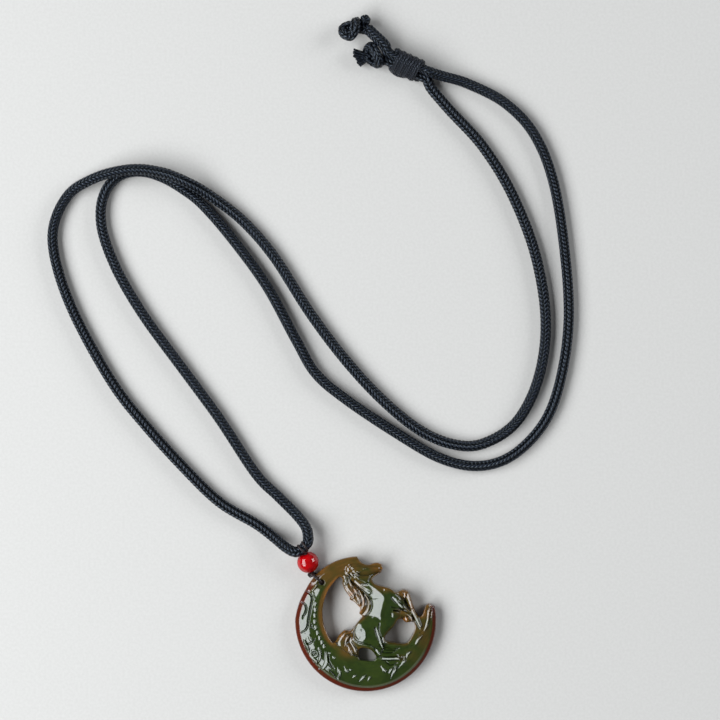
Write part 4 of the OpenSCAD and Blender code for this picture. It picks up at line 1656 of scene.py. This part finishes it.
    def tones(
        self, x: Points, y: Points, top: Points, edge: Points, outer: Points, inner: Points
    ) -> dict[str, Points]:
        """Works out the layers that the finish reads.

        Args:
            x, y: The grid.
            top: The carving's height.
            edge: The distance to its outline, negative inside.
            outer: The distance to the crescent's outer edge.
            inner: The distance to its inner circle.

        Returns:
            The layers amber and skin, pale, a painted highlight along the rolled ridge, and the painted shade
            in the hollows, 0 to 1.
        """
        amber = np.zeros(x.shape)
        for cx, cy, rx, ry, strength in self.amber_spots:
            amber = np.maximum(amber, strength * np.exp(-(((x - cx) / rx) ** 2) - ((y - cy) / ry) ** 2))
        beside_gap = smooth_step(-1.9, -0.2, inner) * (inner < 1.0)
        beside_gap = beside_gap * smooth_step(-3, -9, x) * smooth_step(-9, -3, y)
        thin = 0.4 * smooth_step(-1.1, 0.0, edge) * smooth_step(-12, -4, y)
        amber = np.clip(np.maximum(amber, 0.72 * beside_gap) + thin, 0, 1)
        wide = self.rim_width(x)
        skin = smooth_step(-wide - 0.15, -wide + 0.15, outer) * smooth_step(14.5, 9, y)
        # Painted highlight: a pale line along the rolled ridge inside the rim, on its lower part, standing in
        # for the ridge's reflection.
        wear_and_ridge_highlight = np.sqrt(np.clip(1 - ((-outer - wide - 0.35) / 0.35) ** 2, 0, 1))
        pale = wear_and_ridge_highlight * smooth_step(-5, -10, y)
        # Painted shade: darker where the carving lies below the mean of its neighbours, in cuts and hollows.
        around = sum(np.roll(top, (i, j), (0, 1)) for i in (-2, 0, 2) for j in (-2, 0, 2)) / 9
        hollow_shade = smooth_step(0.015, 0.12, around - top) * smooth_step(-0.1, -0.4, edge)
        return {"amber": amber, "skin": np.clip(skin, 0, 1), "pale": pale, "hollow_shade": hollow_shade}

    def build(self) -> bpy.types.Object:
        """Builds the carving as one closed mesh, drawn round a field of distances.

        Returns:
            The carving.
        """
        cell, layer = ((self.cell, self.layer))
        xs = np.arange(-19.8, 19.8, cell)
        ys = np.arange(-19.0, 19.2, cell)
        zs = np.arange(-0.4, 6.9, layer)
        x, y = np.meshgrid(xs, ys, indexing="ij")
        edge, outer, inner = self.plan(x, y)
        crescent = np.where(inner < 0.6, self.crescent_face(x, y, outer, np.minimum(inner, 0)), 0.0)
        top = smooth_max(self.horse_face(x, y), crescent, 0.25)
        bottom = self.back_edge * np.sqrt(np.clip(1 + outer / self.back_round, 0, 1) ** 3)
        relief = np.hypot(x - self.hole_c[0], y - self.hole_c[1])
        bottom = np.maximum(bottom, 1.1 * smooth_step(4.1, 3.7, relief))
        slope = np.hypot(*np.gradient(top, cell))
        above = (zs[None, None, :] - top[..., None]) / np.sqrt(1 + slope**2)[..., None]
        below = bottom[..., None] - zs[None, None, :]
        wall = np.broadcast_to(edge[..., None], above.shape)
        hole = np.broadcast_to((self.hole_r - relief)[..., None], above.shape)
        solid = smooth_max(smooth_max(above, wall, 0.34), smooth_max(below, wall, 0.35), 0.05)
        solid = smooth_max(solid, hole, 0.12)
        points, quads = surface_net(solid, (xs[0], ys[0], zs[0]), (cell, cell, layer))
        parts = MeshParts()
        parts.add(points, quads)
        piece = parts.build("jade_horse_in_crescent")
        self.paint(piece, points, (xs, ys), self.tones(x, y, top, edge, outer, inner))
        finish_piece(piece, self.finish, Body.PENDANT, ("jade_carving",))
        return piece

    def paint(self, piece: bpy.types.Object, points: Points, axes: tuple, layers: dict) -> None:
        """Writes the finish's layers to the mesh, and the grain, which runs round the crescent.

        Args:
            piece: The carving.
            points: Its points, mm.
            axes: The grid's places along X and along Y.
            layers: The layers' values on the grid, by name.
        """
        cell = axes[0][1] - axes[0][0]
        i = np.clip(((points[:, 0] - axes[0][0]) / cell).round().astype(int), 0, len(axes[0]) - 1)
        j = np.clip(((points[:, 1] - axes[1][0]) / cell).round().astype(int), 0, len(axes[1]) - 1)
        for name, values in layers.items():
            layer = piece.data.attributes.new(name, "FLOAT", "POINT")
            layer.data.foreach_set("value", values[i, j].astype(np.float32))
        dx, dy = points[:, 0] - self.gap_c[0], points[:, 1] - self.gap_c[1]
        around = np.arctan2(dx, -dy)
        grain = np.column_stack([np.hypot(dx, dy) * 1.6, around * 3.2, points[:, 2] * 0.6])
        layer = piece.data.attributes.new("grain", "FLOAT_VECTOR", "POINT")
        layer.data.foreach_set("vector", grain.astype(np.float32).ravel())


def surface_net(field_: Points, origin: tuple, step: tuple) -> tuple[Points, Points]:
    """Draws a closed surface where a field on a grid passes zero.

    Args:
        field_: The field, negative inside the solid.
        origin: The grid's first point.
        step: The grid's spacing along each axis.

    Returns:
        The surface's points, and its quads with their faces outward.
    """
    inside = field_ < 0
    cells = tuple(n - 1 for n in field_.shape)
    count = np.zeros(cells, np.int8)
    for corner in product((0, 1), repeat=3):
        count += inside[tuple(slice(first, first + n) for first, n in zip(corner, cells))]
    active = (count > 0) & (count < 8)
    index = np.full(active.shape, -1)
    index[active] = np.arange(active.sum())
    at = np.argwhere(active)
    total, hits = np.zeros(at.shape), np.zeros(len(at))
    for axis in range(3):
        others = [a for a in range(3) if a != axis]
        for d in product((0, 1), repeat=2):
            low = at.copy()
            low[:, others] += d
            high = low.copy()
            high[:, axis] += 1
            a, b = field_[tuple(low.T)], field_[tuple(high.T)]
            crossed = (a < 0) != (b < 0)
            place = low.astype(float)
            place[:, axis] += np.where(crossed, a / np.where(crossed, a - b, 1), 0)
            total += place * crossed[:, None]
            hits += crossed
    points = total / hits[:, None] * np.array(step) + np.array(origin)
    quads = []
    for axis in range(3):
        b, c = (axis + 1) % 3, (axis + 2) % 3
        low = [slice(1, -1)] * 3
        low[axis] = slice(0, -1)
        high = list(low)
        high[axis] = slice(1, None)
        flips = inside[tuple(low)] != inside[tuple(high)]
        where = np.argwhere(flips) + [0 if a == axis else 1 for a in range(3)]
        outward = inside[tuple(where.T)]
        ring = []
        for db, dc in ((-1, -1), (0, -1), (0, 0), (-1, 0)):
            cell = where.copy()
            cell[:, b] += db
            cell[:, c] += dc
            ring.append(index[tuple(cell.T)])
        ring = np.stack(ring, 1)
        quads.append(np.where(outward[:, None], ring, ring[:, ::-1]))
    return points, np.vstack(quads)


# ---- Studio ----


@dataclass(frozen=True)
class SoftBox:
    """A soft box aimed at the carving.

    Attributes:
        name: The light's name.
        tilt: Degrees from straight above.
        heading: Degrees anticlockwise from +X of the side it stands on.
        away: Metres to what it is aimed at.
        size: Width across the beam's plane and height, metres.
        power: Watts.
        colour: The light's colour.
        aim: What it is aimed at, metres.
    """

    name: str
    tilt: float
    heading: float
    away: float
    size: tuple
    power: float
    colour: tuple = (0.93, 0.97, 1.0)
    aim: tuple = (0.0, 0.03, 0.0)

    def add(self) -> None:
        """Adds the light to the scene."""
        data = bpy.data.lights.new(self.name, "AREA")
        data.shape = "RECTANGLE"
        data.size, data.size_y = self.size
        data.energy = self.power
        data.color = self.colour
        light = bpy.data.objects.new(self.name, data)
        a, b = math.radians(self.tilt), math.radians(self.heading)
        toward = Vector((math.sin(a) * math.cos(b), math.sin(a) * math.sin(b), math.cos(a)))
        light.location = Vector(self.aim) + toward * self.away
        light.rotation_euler = toward.to_track_quat("Z", "Y").to_euler()
        bpy.context.scene.collection.objects.link(light)


@dataclass
class Studio:
    """A pale floor, two soft boxes, a dim pale room and a camera straight above.

    Attributes:
        view_centre: Where the camera looks, mm.
        view_width: How wide its view is there, mm.
        lens: Its focal length, mm.
        film: Its film's width, mm.
        room_colour: The colour of the room's light.
        room_strength: Its strength.
        floor_corners: The floor's lowest and highest X and Y, mm.
        floor_height: The floor's height, mm.
        boxes: The soft boxes.
    """

    view_centre: tuple = (-1.53, 71.8)
    view_width: float = 196.56
    lens: float = 150.0
    film: float = 36.0
    room_colour: Colour = (0.9, 0.93, 1.0, 1)
    room_strength: float = 0.1
    floor_corners: tuple = ((-600, -500), (600, 700))
    floor_height: float = -0.01
    boxes: tuple = (
        SoftBox("key_soft_box", tilt=46, heading=187, away=0.95, size=(1.3, 0.58), power=19.5),
        SoftBox("fill_soft_box", tilt=64, heading=22, away=1.0, size=(0.5, 0.5), power=5.5))

    def camera(self) -> None:
        """Sets up the camera that looks straight down, with +Y up in its view."""
        data = bpy.data.cameras.new("camera")
        data.lens = self.lens
        data.sensor_width = self.film
        data.clip_start = 0.01
        camera = bpy.data.objects.new("camera", data)
        height = self.view_width * self.lens / self.film
        camera.location = (self.view_centre[0] * MM, self.view_centre[1] * MM, height * MM)
        bpy.context.scene.collection.objects.link(camera)
        bpy.context.scene.camera = camera

    def room(self) -> None:
        """Sets the dim pale light of the room, and the plain tone curve."""
        bpy.context.scene.view_settings.view_transform = "Standard"
        world = bpy.data.worlds.new("room")
        world.use_nodes = True
        background = world.node_tree.nodes["Background"]
        background.inputs["Color"].default_value = self.room_colour
        background.inputs["Strength"].default_value = self.room_strength
        bpy.context.scene.world = world

    def floor(self) -> None:
        """Adds the floor, just under the carving's back."""
        parts = MeshParts()
        (left, near), (right, far) = self.floor_corners
        corners = [(left, near), (right, near), (right, far), (left, far)]
        parts.add(np.array([(*corner, self.floor_height) for corner in corners]), np.array([[0, 1, 2, 3]]))
        board = parts.build("floor_board")
        board.data.materials.append(PaleBoard().material())


def main() -> None:
    """Builds the studio, the cord, the knots, the threads, the bead and the carving."""
    logging.basicConfig(level=logging.INFO, format="%(name)s: %(message)s")
    studio = Studio()
    studio.camera()
    cord = NeckCord()
    left, left_path = cord.leg(Side.LEFT)
    right, right_path = cord.leg(Side.RIGHT)
    upper = cord.knot("upper_stopper_knot", cord.upper_knot, cord.upper_radius, "stopper_knot_upper")
    lower = cord.knot("lower_stopper_knot", cord.lower_knot, cord.lower_radius, "stopper_knot_lower")
    cut = cord.cut_end()
    wrapping = SlidingKnot(cord).build()
    bead = Bead()
    hanger = Hanger(bead, cord)
    held = [hanger.hitch(), hanger.strands(), hanger.small_knot(), hanger.loop(), bead.build()]
    for leg, path, others in ((left, left_path, [lower, cut, wrapping]), (right, right_path, [upper, *held])):
        cord.declare()
    JadeCarving().build()
    studio.floor()
    studio.room()
    for box in studio.boxes:
        box.add()


if __name__ == "__main__":
    main()
